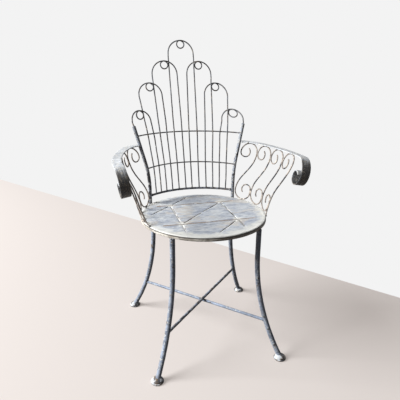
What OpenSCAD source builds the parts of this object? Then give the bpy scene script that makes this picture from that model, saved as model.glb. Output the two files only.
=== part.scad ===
// Wrought-iron garden armchair: a round pressed seat on four flared legs,
// a fan of hooped wires for a back, and rolled strap arms on S-shaped scrolls.
// Every joint is welded, so nothing moves. +Y is the back, +Z is up.

/* [Seat] */
// Radius of the round seat plate
seat_r = 205; // [185:1:235]
// Height of the seat's top face above the floor
seat_h = 443; // [400:1:480]
// Thickness of the seat's sheet
sheet_t = 2; // [1.5:0.1:3]
// Depth of the seat's turned-down edge, from the top face
lip_h = 13; // [9:0.5:14]
// Outer radius of the bend at the seat's edge
edge_bend_r = 3.5; // [2.5:0.5:5]
// Width of the hoop under the seat, across its flat
ring_w = 14; // [10:0.5:18]
// Height of the hoop under the seat
ring_h = 12; // [9.5:0.5:14]
// Gap between the hoop and the seat's turned-down edge
ring_gap = 0.2; // [0.1:0.05:0.5]

/* [Seat pattern] */
// Distance between the two parallel lines of the seat's pattern
pattern_pitch = 182; // [150:1:200]
// How far the pattern's middle lies behind the seat's middle
pattern_back = 9; // [0:1:15]
// Width of a slot
slot_w = 3; // [2:0.25:4]
// Length of sheet left whole between two slots in a line
slot_bridge = 12; // [8:1:20]
// Length of sheet left whole on each side of a crossing, on slanted lines
cross_bridge = 22; // [15:1:30]
// Width of sheet left whole between a slot's end and the seat's edge
slot_margin = 36; // [25:1:50]

/* [Legs] */
// Diameter of a leg
leg_d = 16; // [12:0.5:18]
// Distance from the seat's edge in to a leg's axis at its top
leg_inset = 3.5; // [2:0.5:8]
// Height at which a leg starts to curve outwards
leg_bend_z = 345; // [300:1:370]
// Radius of a leg's outward curve
leg_bend_r = 630; // [560:5:750]
// Height of the middle of a leg's lower end above the floor
leg_end_z = 7; // [6:0.5:9]
// Angle between the front of the seat and a front leg
front_leg_angle = 42; // [36:1:48]
// Angle between the back of the seat and a back leg
back_leg_angle = 47; // [40:1:52]
// Diameter of a domed foot
foot_d = 40; // [32:1:46]
// Height of a domed foot
foot_h = 16; // [13:0.5:22]
// Height of the straight side of a foot, below its dome
foot_side_h = 5; // [3:0.5:7]

/* [Stretchers] */
// Diameter of a stretcher
stretcher_d = 9.4; // [7:0.2:11]
// Height of the lower stretcher's axis
stretcher_z = 122; // [100:1:180]

/* [Posts] */
// Diameter of a back post
post_d = 12; // [10:0.5:15]
// Angle from the seat's side to a back post, around the seat
post_angle = 43.3; // [38:0.1:50]
// Height of a back post's top
post_top_z = 707; // [670:1:740]
// Height at which a post starts to bend outwards
post_bend_z = 490; // [460:1:510]
// Radius of a post's bend
post_bend_r = 330; // [260:5:380]
// Tilt of a post above its bend
post_tilt = 18; // [12:0.5:22]
// Direction that a post tilts in, from the chair's side towards its back
post_heading = 36; // [28:1:44]

/* [Back] */
// Height of the bottom rail's axis
rail_z = 471; // [460:1:485]
// Diameter of the bottom rail
rail_d = 8; // [7:0.5:10]
// Distance from the seat's middle back to the middle of the bottom rail
rail_back = 201; // [190:1:215]
// Lean of the back from upright
back_lean = 15.2; // [10:0.2:18]
// Diameter of the two crossbars
bar_d = 4.6; // [4:0.1:6]
// Height of the lower crossbar
lower_bar_z = 565; // [540:1:600]
// Height of the upper crossbar
upper_bar_z = 675; // [640:1:690]
// Diameter of the back's wires
wire_d = 4.6; // [4:0.1:5]
// Clear gap between two wires that pass each other
wire_gap = 0.1; // [0.05:0.05:0.3]
// Distance between neighbouring wires at the bottom rail
rail_pitch = 24; // [22:0.1:25.5]
// Distance between neighbouring wires at the lower crossbar
lower_pitch = 25; // [23:0.1:26.5]
// Distance between neighbouring wires at the upper crossbar
upper_pitch = 27.2; // [26:0.1:28.2]
// Height above the upper crossbar over which crossing wires part
part_run = 45; // [35:1:55]
// Height above the posts over which the back's curve flattens
flatten_run = 150; // [100:1:200]

/* [Hoops] */
// Radius of the small loop inside each hoop
loop_r = 13.5; // [10:0.25:15]
// Height of the middle hoop's top, to its wire's axis
middle_top_z = 994; // [960:1:1030]
// Half the width of the middle hoop
middle_half = 46.5; // [44:0.5:50]
// Height of the first side hoop's top
side1_top_z = 922; // [900:1:940]
// Distance of the first side hoop's middle from the chair's middle
side1_x = 64.5; // [62:0.5:68]
// Half the width of the first side hoop
side1_half = 45.5; // [42:0.5:47]
// Height of the second side hoop's top
side2_top_z = 846; // [825:1:865]
// Distance of the second side hoop's middle from the chair's middle
side2_x = 124; // [119:0.5:126]
// Width of the second side hoop's outer half
side2_half = 41.5; // [38:0.5:45]
// Width of the second side hoop's inner half
side2_inner_half = 43; // [40:0.5:46]
// Height of the third side hoop's top
side3_top_z = 755; // [745:1:775]
// Distance of the third side hoop's middle from the chair's middle
side3_x = 173.5; // [170:0.5:177]
// Width of the third side hoop's outer half
side3_half = 29; // [27:0.5:33]
// Width of the third side hoop's inner half
side3_inner_half = 39; // [36:0.5:41]

/* [Arms] */
// Width of an arm strap
strap_w = 28; // [22:1:34]
// Thickness of an arm strap
strap_t = 3; // [2.5:0.25:5]
// Height of an arm strap at its post
strap_post_z = 645; // [620:1:660]
// Height of an arm strap at the start of its front roll
strap_front_z = 643; // [615:1:665]
// Distance from the chair's middle plane to the start of the front roll
strap_side = 273; // [255:1:295]
// Distance from the seat's middle forward to the start of the front roll
strap_front = 130; // [110:1:140]
// Outward lean of a strap's face at the roll, from level at the post
strap_lean = 9; // [5:0.5:16]
// Radius of the front roll
roll_r = 43; // [36:1:48]
// Radius of the tight curl inside the front roll
curl_r = 23.5; // [19:0.5:25]
// Radius at the inner end of the tight curl
curl_end_r = 15.5; // [12:0.5:17]

/* [Scrolls] */
// Diameter of the scrolls' wire
scroll_d = 4.6; // [4:0.1:5.5]
// Distance between neighbouring scrolls along the strap
scroll_top_pitch = 70.5; // [66:0.5:72]
// Distance between neighbouring scrolls along the seat's edge
scroll_foot_pitch = 70; // [64:0.5:74]
// Height of half a scroll's upper curl
upper_curl_r = 33; // [29:0.5:37]
// Height of half a scroll's lower curl
lower_curl_r = 30; // [26:0.5:33]
// Width of an upper curl's inner turn, as a share of its outer turn
upper_turn = 0.54; // [0.45:0.01:0.6]
// Width of a lower curl's inner turn, as a share of its outer turn
lower_turn = 0.6; // [0.5:0.01:0.66]
// Height of a lower curl's inner turn above its outer turn
lower_rise = 8; // [5:0.5:12]
// Distance from the seat's edge in to the scrolls' feet
scroll_inset = 0.5; // [0:0.5:6]
// Angle around the seat along which the foot of a front scroll lies
front_foot_turn = 4; // [3:0.5:9]

/* [Hidden] */
$fn = 48;
// Facets of a bar's round section, and of a full turn of a bar's long curve
BAR_FN = 48;
ARC_FN = 360;
// How far one length of a bar runs into the next, and how much thinner it is there
FUSE = 1;
SEAM = 0.01;
iron = "dimgray";
pale_paint = "lightgray";
cream_paint = "ivory";

// Radii
leg_rad = leg_d / 2;
leg_top_r = seat_r - leg_inset;
foot_rad = foot_d / 2;
stretcher_rad = stretcher_d / 2;
post_rad = post_d / 2;
rail_rad = rail_d / 2;
bar_rad = bar_d / 2;
wire_rad = wire_d / 2;
scroll_rad = scroll_d / 2;

// Sides of a swept wire, with flats to the front, back and sides
wire_sides = 8;
wire_facet = 360 / wire_sides;

// A leg's axis in its own upright plane: distance out from the seat's middle at height z
function leg_out(z) =
    let (drop = max(leg_bend_z - z, 0))
    leg_top_r + leg_bend_r - sqrt(leg_bend_r * leg_bend_r - drop * drop);
foot_out = leg_out(leg_end_z);
leg_sweep = asin((leg_bend_z - leg_end_z) / leg_bend_r);
ring_base_z = seat_h - sheet_t - ring_h;

// Headings of the legs around the seat, from +X
FRONT_LEFT = -90 - front_leg_angle;
FRONT_RIGHT = -90 + front_leg_angle;
BACK_LEFT = 90 + back_leg_angle;
BACK_RIGHT = 90 - back_leg_angle;

// The right post's axis
post_foot_r = seat_r + post_rad;
post_foot = post_foot_r * [cos(post_angle), sin(post_angle)];
post_bend_rise = post_bend_r * sin(post_tilt);
post_bend_run = post_bend_r * (1 - cos(post_tilt));
post_knee_z = post_bend_z + post_bend_rise;
function post_run(z) =
    z <= post_bend_z ? 0
    : z <= post_knee_z ? post_bend_r - sqrt(pow(post_bend_r, 2) - pow(z - post_bend_z, 2))
    : post_bend_run + (z - post_knee_z) * tan(post_tilt);
function post_xy(z) = post_foot + post_run(z) * [cos(post_heading), sin(post_heading)];

// The back's middle line leans, and the back curves forward from it to both posts
function middle_y(z) = rail_back + (z - rail_z) * tan(back_lean);
function post_z(z) = min(z, post_top_z);
function back_sag(z) = middle_y(post_z(z)) - post_xy(post_z(z)).y;
function back_r(z) =
    (pow(post_xy(post_z(z)).x, 2) + pow(back_sag(z), 2)) / (2 * back_sag(z));
function flatness(z) = min(max(1 - (z - post_top_z) / flatten_run, 0), 1);
function back_y(x, z) =
    middle_y(z) - flatness(z) * (back_r(z) - sqrt(max(pow(back_r(z), 2) - x * x, 0)));
function front_dir(x, z) =
    let (turn = asin(max(min(x * flatness(z) / back_r(z), 1), -1)))
    [-sin(turn), -cos(turn), 0];

// A wire runs in front of the crossbars; side 1 is the rear layer and -1 the front layer
stand_off = (bar_rad + wire_rad) / cos(back_lean);
function ease(t) = let (u = min(max(t, 0), 1)) u * u * (3 - 2 * u);
function layer_shift(z) = (wire_rad + wire_gap / 2) * ease((z - upper_bar_z) / part_run);
function wire_point(x, z, side) =
    [x, back_y(x, z), z] + front_dir(x, z) * (stand_off - side * layer_shift(z));

// General helpers
function unit(v) = v / norm(v);
function bezier(a, b, c, d, t) =
    pow(1 - t, 3) * a + 3 * pow(1 - t, 2) * t * b + 3 * (1 - t) * t * t * c + pow(t, 3) * d;
function wire_section(r) = [
    for (k = [0 : wire_sides - 1])
    let (a = wire_facet * (k + 0.5))
    r / cos(wire_facet / 2) * [cos(a), sin(a)]
];
function tangent(path, i) =
    unit(path[min(i + 1, len(path) - 1)] - path[max(i - 1, 0)]);

// Sweeps a closed section along a path; refs give the section's first direction
module sweep(path, refs, section) {
    m = len(section);
    n = len(path);
    points = [
        for (i = [0 : n - 1])
        let (
            t = tangent(path, i),
            first = unit(refs[i] - (refs[i] * t) * t),
            second = cross(t, first)
        )
        for (s = section) path[i] + s.x * first + s.y * second
    ];
    sides = [
        for (i = [0 : n - 2]) for (j = [0 : m - 1])
        let (k = (j + 1) % m, a = i * m, b = a + m)
        each [[a + j, b + j, b + k], [a + j, b + k, a + k]]
    ];
    start = [[for (j = [0 : m - 1]) j]];
    end = [[for (j = [m - 1 : -1 : 0]) (n - 1) * m + j]];
    polyhedron(points = points, faces = concat(start, sides, end), convexity = 8);
}

// The chair's reference point is the middle of its outline on the floor
y_lowest = -foot_out * cos(front_leg_angle) - foot_rad;
y_highest = wire_point(0, middle_top_z, 1).y
    + wire_rad / cos(wire_facet / 2) * cos(wire_facet / 2 - back_lean);
module place() {
    translate([0, -(y_lowest + y_highest) / 2, 0]) children();
}

// ---- Seat ----

module slot(from, to) {
    run = to - from;
    translate([from.x, from.y, seat_h - 2 * sheet_t])
        rotate(atan2(run.y, run.x)) {
            translate([0, -slot_w / 2, 0]) cube([norm(run), slot_w, 3 * sheet_t]);
            cylinder(h = 3 * sheet_t, d = slot_w);
            translate([norm(run), 0, 0]) cylinder(h = 3 * sheet_t, d = slot_w);
        }
}

// Half the length of a slotted line that passes the seat's middle at a distance
function half_chord(distance) = sqrt(pow(seat_r - slot_margin, 2) - distance * distance);

module seat_slots() {
    half = pattern_pitch / 2;
    for (side = [-1, 1]) {
        y = pattern_back + side * half;
        reach = half_chord(y);
        slot([-reach, y], [-slot_bridge / 2, y]);
        slot([slot_bridge / 2, y], [reach, y]);
        down = half_chord(half);
        slot([side * half, -down], [side * half, pattern_back - half - cross_bridge / 2]);
        slot([side * half, pattern_back - half + cross_bridge / 2],
             [side * half, pattern_back + half - cross_bridge / 2]);
    }
    for (shift = [-1, 0, 1]) slanted_slots(shift);
}

// Slots along a line at 45 degrees, broken where it meets the other lines. The middle
// line is cut only between its two crossings, and the front one only on its left.
module slanted_slots(shift) {
    half = pattern_pitch / 2;
    lift = shift * pattern_pitch + pattern_back;
    reach = half_chord(abs(lift) / sqrt(2));
    start = -lift / 2 - reach / sqrt(2);
    end = -lift / 2 + reach / sqrt(2);
    gap = cross_bridge / 2;
    crossing = shift * -half;
    breaks = shift == 0 ? [-half + gap, -gap / 2, gap / 2, half - gap]
        : shift < 0 ? [start, crossing - gap]
        : [start, crossing - gap, crossing + gap, end];
    for (i = [0 : 2 : len(breaks) - 2])
        slot([breaks[i], breaks[i] + lift], [breaks[i + 1], breaks[i + 1] + lift]);
}

module seat_plate() {
    bend_in = max(edge_bend_r - sheet_t, 0.5);
    outer_arc = [
        for (a = [0 : 15 : 90])
        [seat_r - edge_bend_r + edge_bend_r * cos(a), seat_h - edge_bend_r + edge_bend_r * sin(a)]
    ];
    inner_arc = [
        for (a = [90 : -15 : 0])
        [seat_r - sheet_t - bend_in + bend_in * cos(a), seat_h - sheet_t - bend_in + bend_in * sin(a)]
    ];
    profile = concat(
        [[0, seat_h - sheet_t]],
        inner_arc,
        [[seat_r - sheet_t, seat_h - lip_h], [seat_r, seat_h - lip_h]],
        outer_arc,
        [[0, seat_h]]
    );
    place() color(pale_paint) difference() {
        rotate_extrude($fn = 96) polygon(profile);
        seat_slots();
    }
}

module seat_ring() {
    outer = seat_r - sheet_t - ring_gap;
    // The ring's top edges are eased so that it clears the seat's bend
    ease_w = edge_bend_r - sheet_t;
    place() color(iron) rotate_extrude($fn = 96)
        polygon([
            [outer - ring_w, ring_base_z],
            [outer, ring_base_z],
            [outer, ring_base_z + ring_h - ease_w],
            [outer - ease_w, ring_base_z + ring_h],
            [outer - ring_w, ring_base_z + ring_h]
        ]);
}

// ---- Legs, feet and stretchers ----

// A leg's solid, in the plane of a heading: straight at the top, then one round curve
module leg_bar(heading) {
    rotate(heading) {
        translate([leg_top_r, 0, leg_bend_z])
            cylinder(h = ring_base_z - leg_bend_z, r = leg_rad);
        translate([leg_top_r + leg_bend_r, 0, leg_bend_z])
            rotate([90, 0, 0])
                rotate_extrude(angle = leg_sweep, start = 180, $fn = ARC_FN)
                    translate([leg_bend_r, 0]) circle(r = leg_rad, $fn = BAR_FN);
    }
}

module leg(heading) {
    place() color(iron) leg_bar(heading);
}

module foot(heading) {
    rise = foot_h - foot_side_h;
    dome_r = (foot_rad * foot_rad + rise * rise) / (2 * rise);
    place() color(cream_paint) difference() {
        rotate(heading) translate([foot_out, 0, 0]) intersection() {
            cylinder(h = foot_h, r = foot_rad);
            translate([0, 0, foot_h - dome_r]) sphere(r = dome_r);
        }
        leg_bar(heading);
    }
}

// A straight bar between two legs, cut to fit against both
module stretcher(from, to, z) {
    a = leg_out(z) * [cos(from), sin(from)];
    b = leg_out(z) * [cos(to), sin(to)];
    run = b - a;
    place() color(iron) difference() {
        translate([a.x, a.y, z])
            rotate([0, 0, atan2(run.y, run.x)])
                rotate([0, 90, 0])
                    cylinder(h = norm(run), r = stretcher_rad);
        leg_bar(from);
        leg_bar(to);
    }
}

module leg_front_left() leg(FRONT_LEFT);
module leg_front_right() leg(FRONT_RIGHT);
module leg_back_left() leg(BACK_LEFT);
module leg_back_right() leg(BACK_RIGHT);
module foot_front_left() foot(FRONT_LEFT);
module foot_front_right() foot(FRONT_RIGHT);
module foot_back_left() foot(BACK_LEFT);
module foot_back_right() foot(BACK_RIGHT);
module stretcher_lower() stretcher(BACK_LEFT, FRONT_RIGHT, stretcher_z);
module stretcher_upper() stretcher(BACK_RIGHT, FRONT_LEFT, stretcher_z + stretcher_d);

// ---- Posts, rail and crossbars ----

// The right post: upright beside the seat's edge, bent, then straight and tilted
module post_bar() {
    base_z = seat_h - lip_h;
    top_length = (post_top_z - post_knee_z) / cos(post_tilt);
    translate([post_foot.x, post_foot.y, 0]) rotate(post_heading) {
        translate([0, 0, base_z]) cylinder(h = post_bend_z - base_z, r = post_rad);
        translate([post_bend_r, 0, post_bend_z])
            rotate([90, 0, 0]) mirror([0, 0, 1])
                rotate_extrude(angle = post_tilt, start = 180 - post_tilt, $fn = ARC_FN)
                    translate([post_bend_r, 0]) circle(r = post_rad, $fn = BAR_FN);
        translate([post_bend_run, 0, post_knee_z])
            rotate([0, post_tilt, 0])
                translate([0, 0, -FUSE]) cylinder(h = top_length + FUSE, r = post_rad - SEAM);
    }
}

module post_left() {
    place() color(iron) mirror([1, 0, 0]) post_bar();
}

module post_right() {
    place() color(iron) post_bar();
}

// A bar that follows the back's curve at one height, cut to fit between the posts
module curved_bar(z, r, forward) {
    bend_r = back_r(z);
    half_turn = asin(post_xy(z).x / bend_r);
    difference() {
        translate([0, middle_y(z) - bend_r, z])
            rotate_extrude(angle = 2 * half_turn, start = 90 - half_turn, $fn = ARC_FN)
                translate([bend_r - forward, 0]) circle(r = r, $fn = BAR_FN);
        post_bar();
        mirror([1, 0, 0]) post_bar();
    }
}

module bottom_rail() {
    place() color(iron) curved_bar(rail_z, rail_rad, stand_off);
}

module lower_crossbar() {
    place() color(iron) curved_bar(lower_bar_z, bar_rad, 0);
}

module upper_crossbar() {
    place() color(iron) curved_bar(upper_bar_z, bar_rad, 0);
}

// ---- Hoops ----

// How far the legs half way out stand past an even spacing, in pitches
place_bulge = 0.22;

// A leg of a hoop ends on the bottom rail; places are counted from the chair's middle
place_wave = 36;
bar_easing = 50;
spring_clear = 10;
leg_heights = [
    rail_z + rail_rad, lower_bar_z - bar_easing, lower_bar_z, lower_bar_z + bar_easing,
    upper_bar_z, upper_bar_z + part_run / 4, upper_bar_z + part_run / 2,
    upper_bar_z + part_run * 3 / 4, upper_bar_z + part_run
];

function leg_path(place_no, spring_x, spring_z, side) =
    let (
        count = place_no + sign(place_no) * place_bulge * sin(place_wave * (abs(place_no) - 0.5)),
        spread = [
            [rail_z, count * rail_pitch],
            [lower_bar_z, count * lower_pitch],
            [upper_bar_z, count * upper_pitch],
            [spring_z, spring_x]
        ],
        upper_heights = [
            for (k = [1 : 4])
            let (low = upper_bar_z + part_run)
            low + (spring_z - low) * k / 5
        ],
        heights = concat(
            [for (z = leg_heights) if (z < spring_z - spring_clear) z],
            [for (z = upper_heights) if (z > upper_bar_z + part_run + 1) z]
        )
    )
    [for (z = heights) wire_point(lookup(z, spread), z, side)];

// The outermost leg of a third hoop comes down onto a post's top, in line with the post
post_stub = 1.5;
function post_leg_path(hand, spring_x, spring_z, side) =
    let (
        top = [hand * post_xy(post_top_z).x, post_xy(post_top_z).y, post_top_z],
        axis = [
            hand * sin(post_tilt) * cos(post_heading),
            sin(post_tilt) * sin(post_heading),
            cos(post_tilt)
        ],
        spring = wire_point(spring_x, spring_z, side),
        reach = norm(spring - top) / 2
    )
    concat(
        [top, top + axis * post_stub],
        [for (k = [1 : 3])
            bezier(top + axis * post_stub, top + axis * reach, spring - [0, 0, reach], spring, k / 4)]
    );

arch_steps = 9;
loop_steps = 20;

// The loop moves from the rear layer to the front one within this much of its turn
CHANGE_TURN = 45;
function loop_side(turned, change) = 1 - 2 * ease((turned - change) / CHANGE_TURN);

function hoop_path(left_leg, right_leg, x, top_z, left_half, right_half, change) =
    concat(
        left_leg,
        [for (k = [0 : arch_steps - 1])
            let (a = 180 - 90 * k / arch_steps)
            wire_point(x + left_half * cos(a), top_z - left_half * (1 - sin(a)), 1)],
        [for (k = [0 : loop_steps])
            let (turned = 360 * k / loop_steps)
            wire_point(x + loop_r * sin(turned), top_z - loop_r * (1 - cos(turned)),
                loop_side(turned, change))],
        [for (k = [1 : arch_steps])
            let (a = 90 - 90 * k / arch_steps)
            wire_point(x + right_half * cos(a), top_z - right_half * (1 - sin(a)), -1)],
        [for (k = [len(right_leg) - 1 : -1 : 0]) right_leg[k]]
    );

// A left hoop's loop changes layer before it passes the next wire, a right one's after
EARLY = 35;
LATE = 280;

module wire_hoop(path) {
    refs = [for (p = path) -front_dir(p.x, p.z)];
    place() color(iron) sweep(path, refs, wire_section(wire_rad));
}

// A hoop whose two legs both stand on the bottom rail, three places apart
module hoop(first_place, x, top_z, left_half, right_half, change) {
    wire_hoop(hoop_path(
        leg_path(first_place, x - left_half, top_z - left_half, 1),
        leg_path(first_place + 3, x + right_half, top_z - right_half, -1),
        x, top_z, left_half, right_half, change
    ));
}

module hoop_middle() hoop(-1.5, 0, middle_top_z, middle_half, middle_half, EARLY);
module hoop_left_1() hoop(-3.5, -side1_x, side1_top_z, side1_half, side1_half, EARLY);
module hoop_left_2() hoop(-5.5, -side2_x, side2_top_z, side2_half, side2_inner_half, EARLY);
module hoop_right_1() hoop(0.5, side1_x, side1_top_z, side1_half, side1_half, LATE);
module hoop_right_2() hoop(2.5, side2_x, side2_top_z, side2_inner_half, side2_half, LATE);

module hoop_left_3() {
    wire_hoop(hoop_path(
        post_leg_path(-1, -side3_x - side3_half, side3_top_z - side3_half, 1),
        leg_path(-4.5, -side3_x + side3_inner_half, side3_top_z - side3_inner_half, -1),
        -side3_x, side3_top_z, side3_half, side3_inner_half, EARLY
    ));
}

module hoop_right_3() {
    wire_hoop(hoop_path(
        leg_path(4.5, side3_x - side3_inner_half, side3_top_z - side3_inner_half, 1),
        post_leg_path(1, side3_x + side3_half, side3_top_z - side3_half, -1),
        side3_x, side3_top_z, side3_inner_half, side3_half, LATE
    ));
}

// ---- Arms ----

// The right strap's middle line, from the post round to the start of its front roll
strap_start = [
    post_xy(strap_post_z).x + post_rad * cos(post_heading - 45),
    post_xy(strap_post_z).y + post_rad * sin(post_heading - 45),
    strap_post_z
];
strap_end = [strap_side, -strap_front, strap_front_z];
// How far the strap's curve is drawn away from its two ends
post_pull = [58, -8, 0];
front_pull = [10, 106, 0];
function strap_at(t) =
    bezier(strap_start, strap_start + post_pull, strap_end + front_pull, strap_end, t);

// Share of the strap's curve against the length run along it
strap_steps = 24;
strap_lengths = [
    for (i = 0, run = 0; i <= strap_steps;
        run = run + norm(strap_at((i + 1) / strap_steps) - strap_at(i / strap_steps)), i = i + 1)
    [run, i / strap_steps]
];
function strap_share(length) = lookup(length, strap_lengths);

// The panel of scrolls stands between the seat's edge and the strap.
// Along it, u counts scrolls from the post, and v runs from 0 at the seat to 1 at the strap.
// The scrolls rest on the seat's bent edge.
panel_foot_r = seat_r - scroll_inset;
panel_foot_z = seat_h - edge_bend_r
    + sqrt(pow(edge_bend_r + scroll_rad, 2) - pow(max(edge_bend_r - scroll_inset, 0), 2));
panel_first_angle = post_angle - (post_rad + scroll_rad) / panel_foot_r * 180 / PI;
panel_first_length = scroll_rad + 1;
panel_angle_step = scroll_foot_pitch / panel_foot_r * 180 / PI;
function panel_angle(u) = panel_first_angle - u * panel_angle_step;
function panel_foot(u) =
    [panel_foot_r * cos(panel_angle(u)), panel_foot_r * sin(panel_angle(u)), panel_foot_z];
function panel_share(u) = strap_share(panel_first_length + u * scroll_top_pitch);
function strap_tangent(t) = unit(strap_at(min(t + 0.01, 1)) - strap_at(max(t - 0.01, 0)));
function strap_up(t) =
    let (
        outward = unit(cross([0, 0, 1], strap_tangent(t))),
        lean = strap_lean * t * t
    )
    outward * sin(lean) + [0, 0, cos(lean)];
function panel_head(u) =
    strap_at(panel_share(u)) - strap_up(panel_share(u)) * (strap_t / 2 + scroll_rad);
function panel(u, v) = panel_foot(u) + (panel_head(u) - panel_foot(u)) * v;

panel_h = norm(panel_head(2) - panel_foot(2));
upper_v = 1 - upper_curl_r / panel_h;
lower_v = lower_curl_r / panel_h;
upper_half = 0.5 - (scroll_rad + wire_gap / 2) / scroll_top_pitch;
lower_half = 0.5 - (scroll_rad + wire_gap / 2) / scroll_foot_pitch;

function arc(u, v, ru, rv, from, to, steps) = [
    for (k = [0 : steps])
    let (a = from + (to - from) * k / steps)
    [u + ru * cos(a), v + rv * sin(a)]
];
function tail(list) = [for (i = [1 : len(list) - 1]) list[i]];

// Facets of half a turn of a curl, and the directions of a scroll's two inner ends
half_steps = 12;
upper_end_turn = 50;
lower_end_turn = 220;

// The upper curl of a scroll, from its inner end round to its front side
function upper_curl(k) =
    let (mid = k + 0.5, height = upper_curl_r / panel_h)
    concat(
        arc(mid - upper_half * (1 - upper_turn), upper_v,
            upper_half * upper_turn, height * upper_turn, upper_end_turn, -180, half_steps),
        tail(arc(mid, upper_v, upper_half, height, 180, 0, half_steps))
    );

// The lower curl of a scroll, from its back side round to its inner end
function lower_curl(k) =
    let (mid = k + 0.5, height = lower_curl_r / panel_h)
    concat(
        arc(mid, lower_v, lower_half, height, 180, 360, half_steps),
        arc(mid + lower_half * (1 - lower_turn), lower_v + lower_rise / panel_h,
            lower_half * lower_turn, height * lower_turn, 0, lower_end_turn, half_steps)
    );

// The slanted stretch between two curls
slant_pull = [0, 0.28];
function slant(from, to) = [
    for (k = [1 : 9])
    bezier(from, from - slant_pull, to + slant_pull, to, k / 10)
];

function scroll_path(k) =
    [for (q = concat(
        upper_curl(k),
        slant([k + 0.5 + upper_half, upper_v], [k + 0.5 - lower_half, lower_v]),
        lower_curl(k)
    )) panel(q.x, q.y)];

// The fourth scroll has no lower curl: it slants down to the seat's edge,
// turns forward and ends lying along the edge
function front_scroll_path() =
    let (
        low = [3 + (scroll_rad + wire_gap) / scroll_foot_pitch, lower_v],
        low_point = panel(low.x, low.y),
        angle = panel_angle(low.x) - front_foot_turn,
        end = [panel_foot_r * cos(angle), panel_foot_r * sin(angle), panel_foot_z],
        backward = [-sin(angle), cos(angle), 0],
        reach = norm(end - low_point) / 2
    )
    concat(
        [for (q = concat(upper_curl(3), slant([3.5 + upper_half, upper_v], low), [low]))
            panel(q.x, q.y)],
        [for (k = [1 : 8])
            bezier(low_point, low_point + unit(panel(low.x, 0) - low_point) * reach,
                end + backward * reach, end, k / 8)]
    );

// A scroll wire's flats face straight out from the sloping panel
panel_slope = 60;
module scroll_wire(path) {
    refs = [for (p = path) unit([p.x, p.y, -panel_slope])];
    color(iron) sweep(path, refs, wire_section(scroll_rad));
}

module arm_scroll(k) {
    if (k < 3) scroll_wire(scroll_path(k));
    else scroll_wire(front_scroll_path());
}

// The strap's roll lies in the plane of the strap's run and its upward direction
roll_turn = -65;
curl_turn = -320;
roll_steps = 16;
curl_steps = 24;
function roll_points() =
    let (
        along = strap_tangent(1),
        up = strap_up(1),
        middle = strap_end - up * roll_r,
        curl_middle = middle + (roll_r - curl_r) * (cos(roll_turn) * along + sin(roll_turn) * up)
    )
    concat(
        [for (k = [1 : roll_steps])
            let (a = 90 + (roll_turn - 90) * k / roll_steps)
            middle + roll_r * (cos(a) * along + sin(a) * up)],
        [for (k = [1 : curl_steps])
            let (
                share = k / curl_steps,
                a = roll_turn + (curl_turn - roll_turn) * share,
                r = curl_r - (curl_r - curl_end_r) * share * share
            )
            curl_middle + r * (cos(a) * along + sin(a) * up)]
    );

// The strap's width lies square to its run and to its upward direction
function strap_width_dir(t) = cross(strap_up(t), strap_tangent(t));

module arm_strap() {
    shares = [for (i = [0 : strap_steps]) i / strap_steps];
    run = [for (t = shares) strap_at(t)];
    roll = roll_points();
    refs = concat(
        [for (t = shares) strap_width_dir(t)],
        [for (p = roll) strap_width_dir(1)]
    );
    section = [
        [strap_w, strap_t] / 2, [-strap_w, strap_t] / 2,
        [-strap_w, -strap_t] / 2, [strap_w, -strap_t] / 2
    ];
    color(pale_paint) sweep(concat(run, roll), refs, section);
}

module arm_strap_left() place() mirror([1, 0, 0]) arm_strap();
module arm_strap_right() place() arm_strap();
module scroll_left_1() place() mirror([1, 0, 0]) arm_scroll(0);
module scroll_left_2() place() mirror([1, 0, 0]) arm_scroll(1);
module scroll_left_3() place() mirror([1, 0, 0]) arm_scroll(2);
module scroll_left_4() place() mirror([1, 0, 0]) arm_scroll(3);
module scroll_right_1() place() arm_scroll(0);
module scroll_right_2() place() arm_scroll(1);
module scroll_right_3() place() arm_scroll(2);
module scroll_right_4() place() arm_scroll(3);

seat_plate();
seat_ring();
leg_front_left();
leg_front_right();
leg_back_left();
leg_back_right();
foot_front_left();
foot_front_right();
foot_back_left();
foot_back_right();
stretcher_lower();
stretcher_upper();
post_left();
post_right();
bottom_rail();
lower_crossbar();
upper_crossbar();
hoop_middle();
hoop_left_1();
hoop_left_2();
hoop_left_3();
hoop_right_1();
hoop_right_2();
hoop_right_3();
arm_strap_left();
arm_strap_right();
scroll_left_1();
scroll_left_2();
scroll_left_3();
scroll_left_4();
scroll_right_1();
scroll_right_2();
scroll_right_3();
scroll_right_4();
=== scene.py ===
"""A weathered wrought iron garden armchair: a fan of looped hoops, scrolled arms, a round
sheet seat and flared legs on button feet, all under worn and flaking paint."""
import math

import bpy
import numpy as np
from mathutils import Matrix, Vector
from mathutils.geometry import delaunay_2d_cdt


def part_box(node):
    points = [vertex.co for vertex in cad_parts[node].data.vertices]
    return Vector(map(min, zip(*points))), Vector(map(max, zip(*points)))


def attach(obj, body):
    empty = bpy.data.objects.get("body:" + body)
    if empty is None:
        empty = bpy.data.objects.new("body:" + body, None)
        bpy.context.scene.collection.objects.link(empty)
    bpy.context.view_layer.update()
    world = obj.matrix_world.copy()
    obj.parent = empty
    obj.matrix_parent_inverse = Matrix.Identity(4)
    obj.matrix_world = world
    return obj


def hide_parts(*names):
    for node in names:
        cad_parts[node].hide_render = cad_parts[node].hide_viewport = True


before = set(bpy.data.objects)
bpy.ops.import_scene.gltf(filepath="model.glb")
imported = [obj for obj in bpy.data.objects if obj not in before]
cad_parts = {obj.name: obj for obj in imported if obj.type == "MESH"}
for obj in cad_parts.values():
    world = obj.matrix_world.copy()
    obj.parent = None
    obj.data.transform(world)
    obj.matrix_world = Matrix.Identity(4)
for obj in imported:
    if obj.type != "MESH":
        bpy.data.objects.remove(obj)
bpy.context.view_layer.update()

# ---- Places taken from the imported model, in millimetres from the seat's own axis ----

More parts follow.
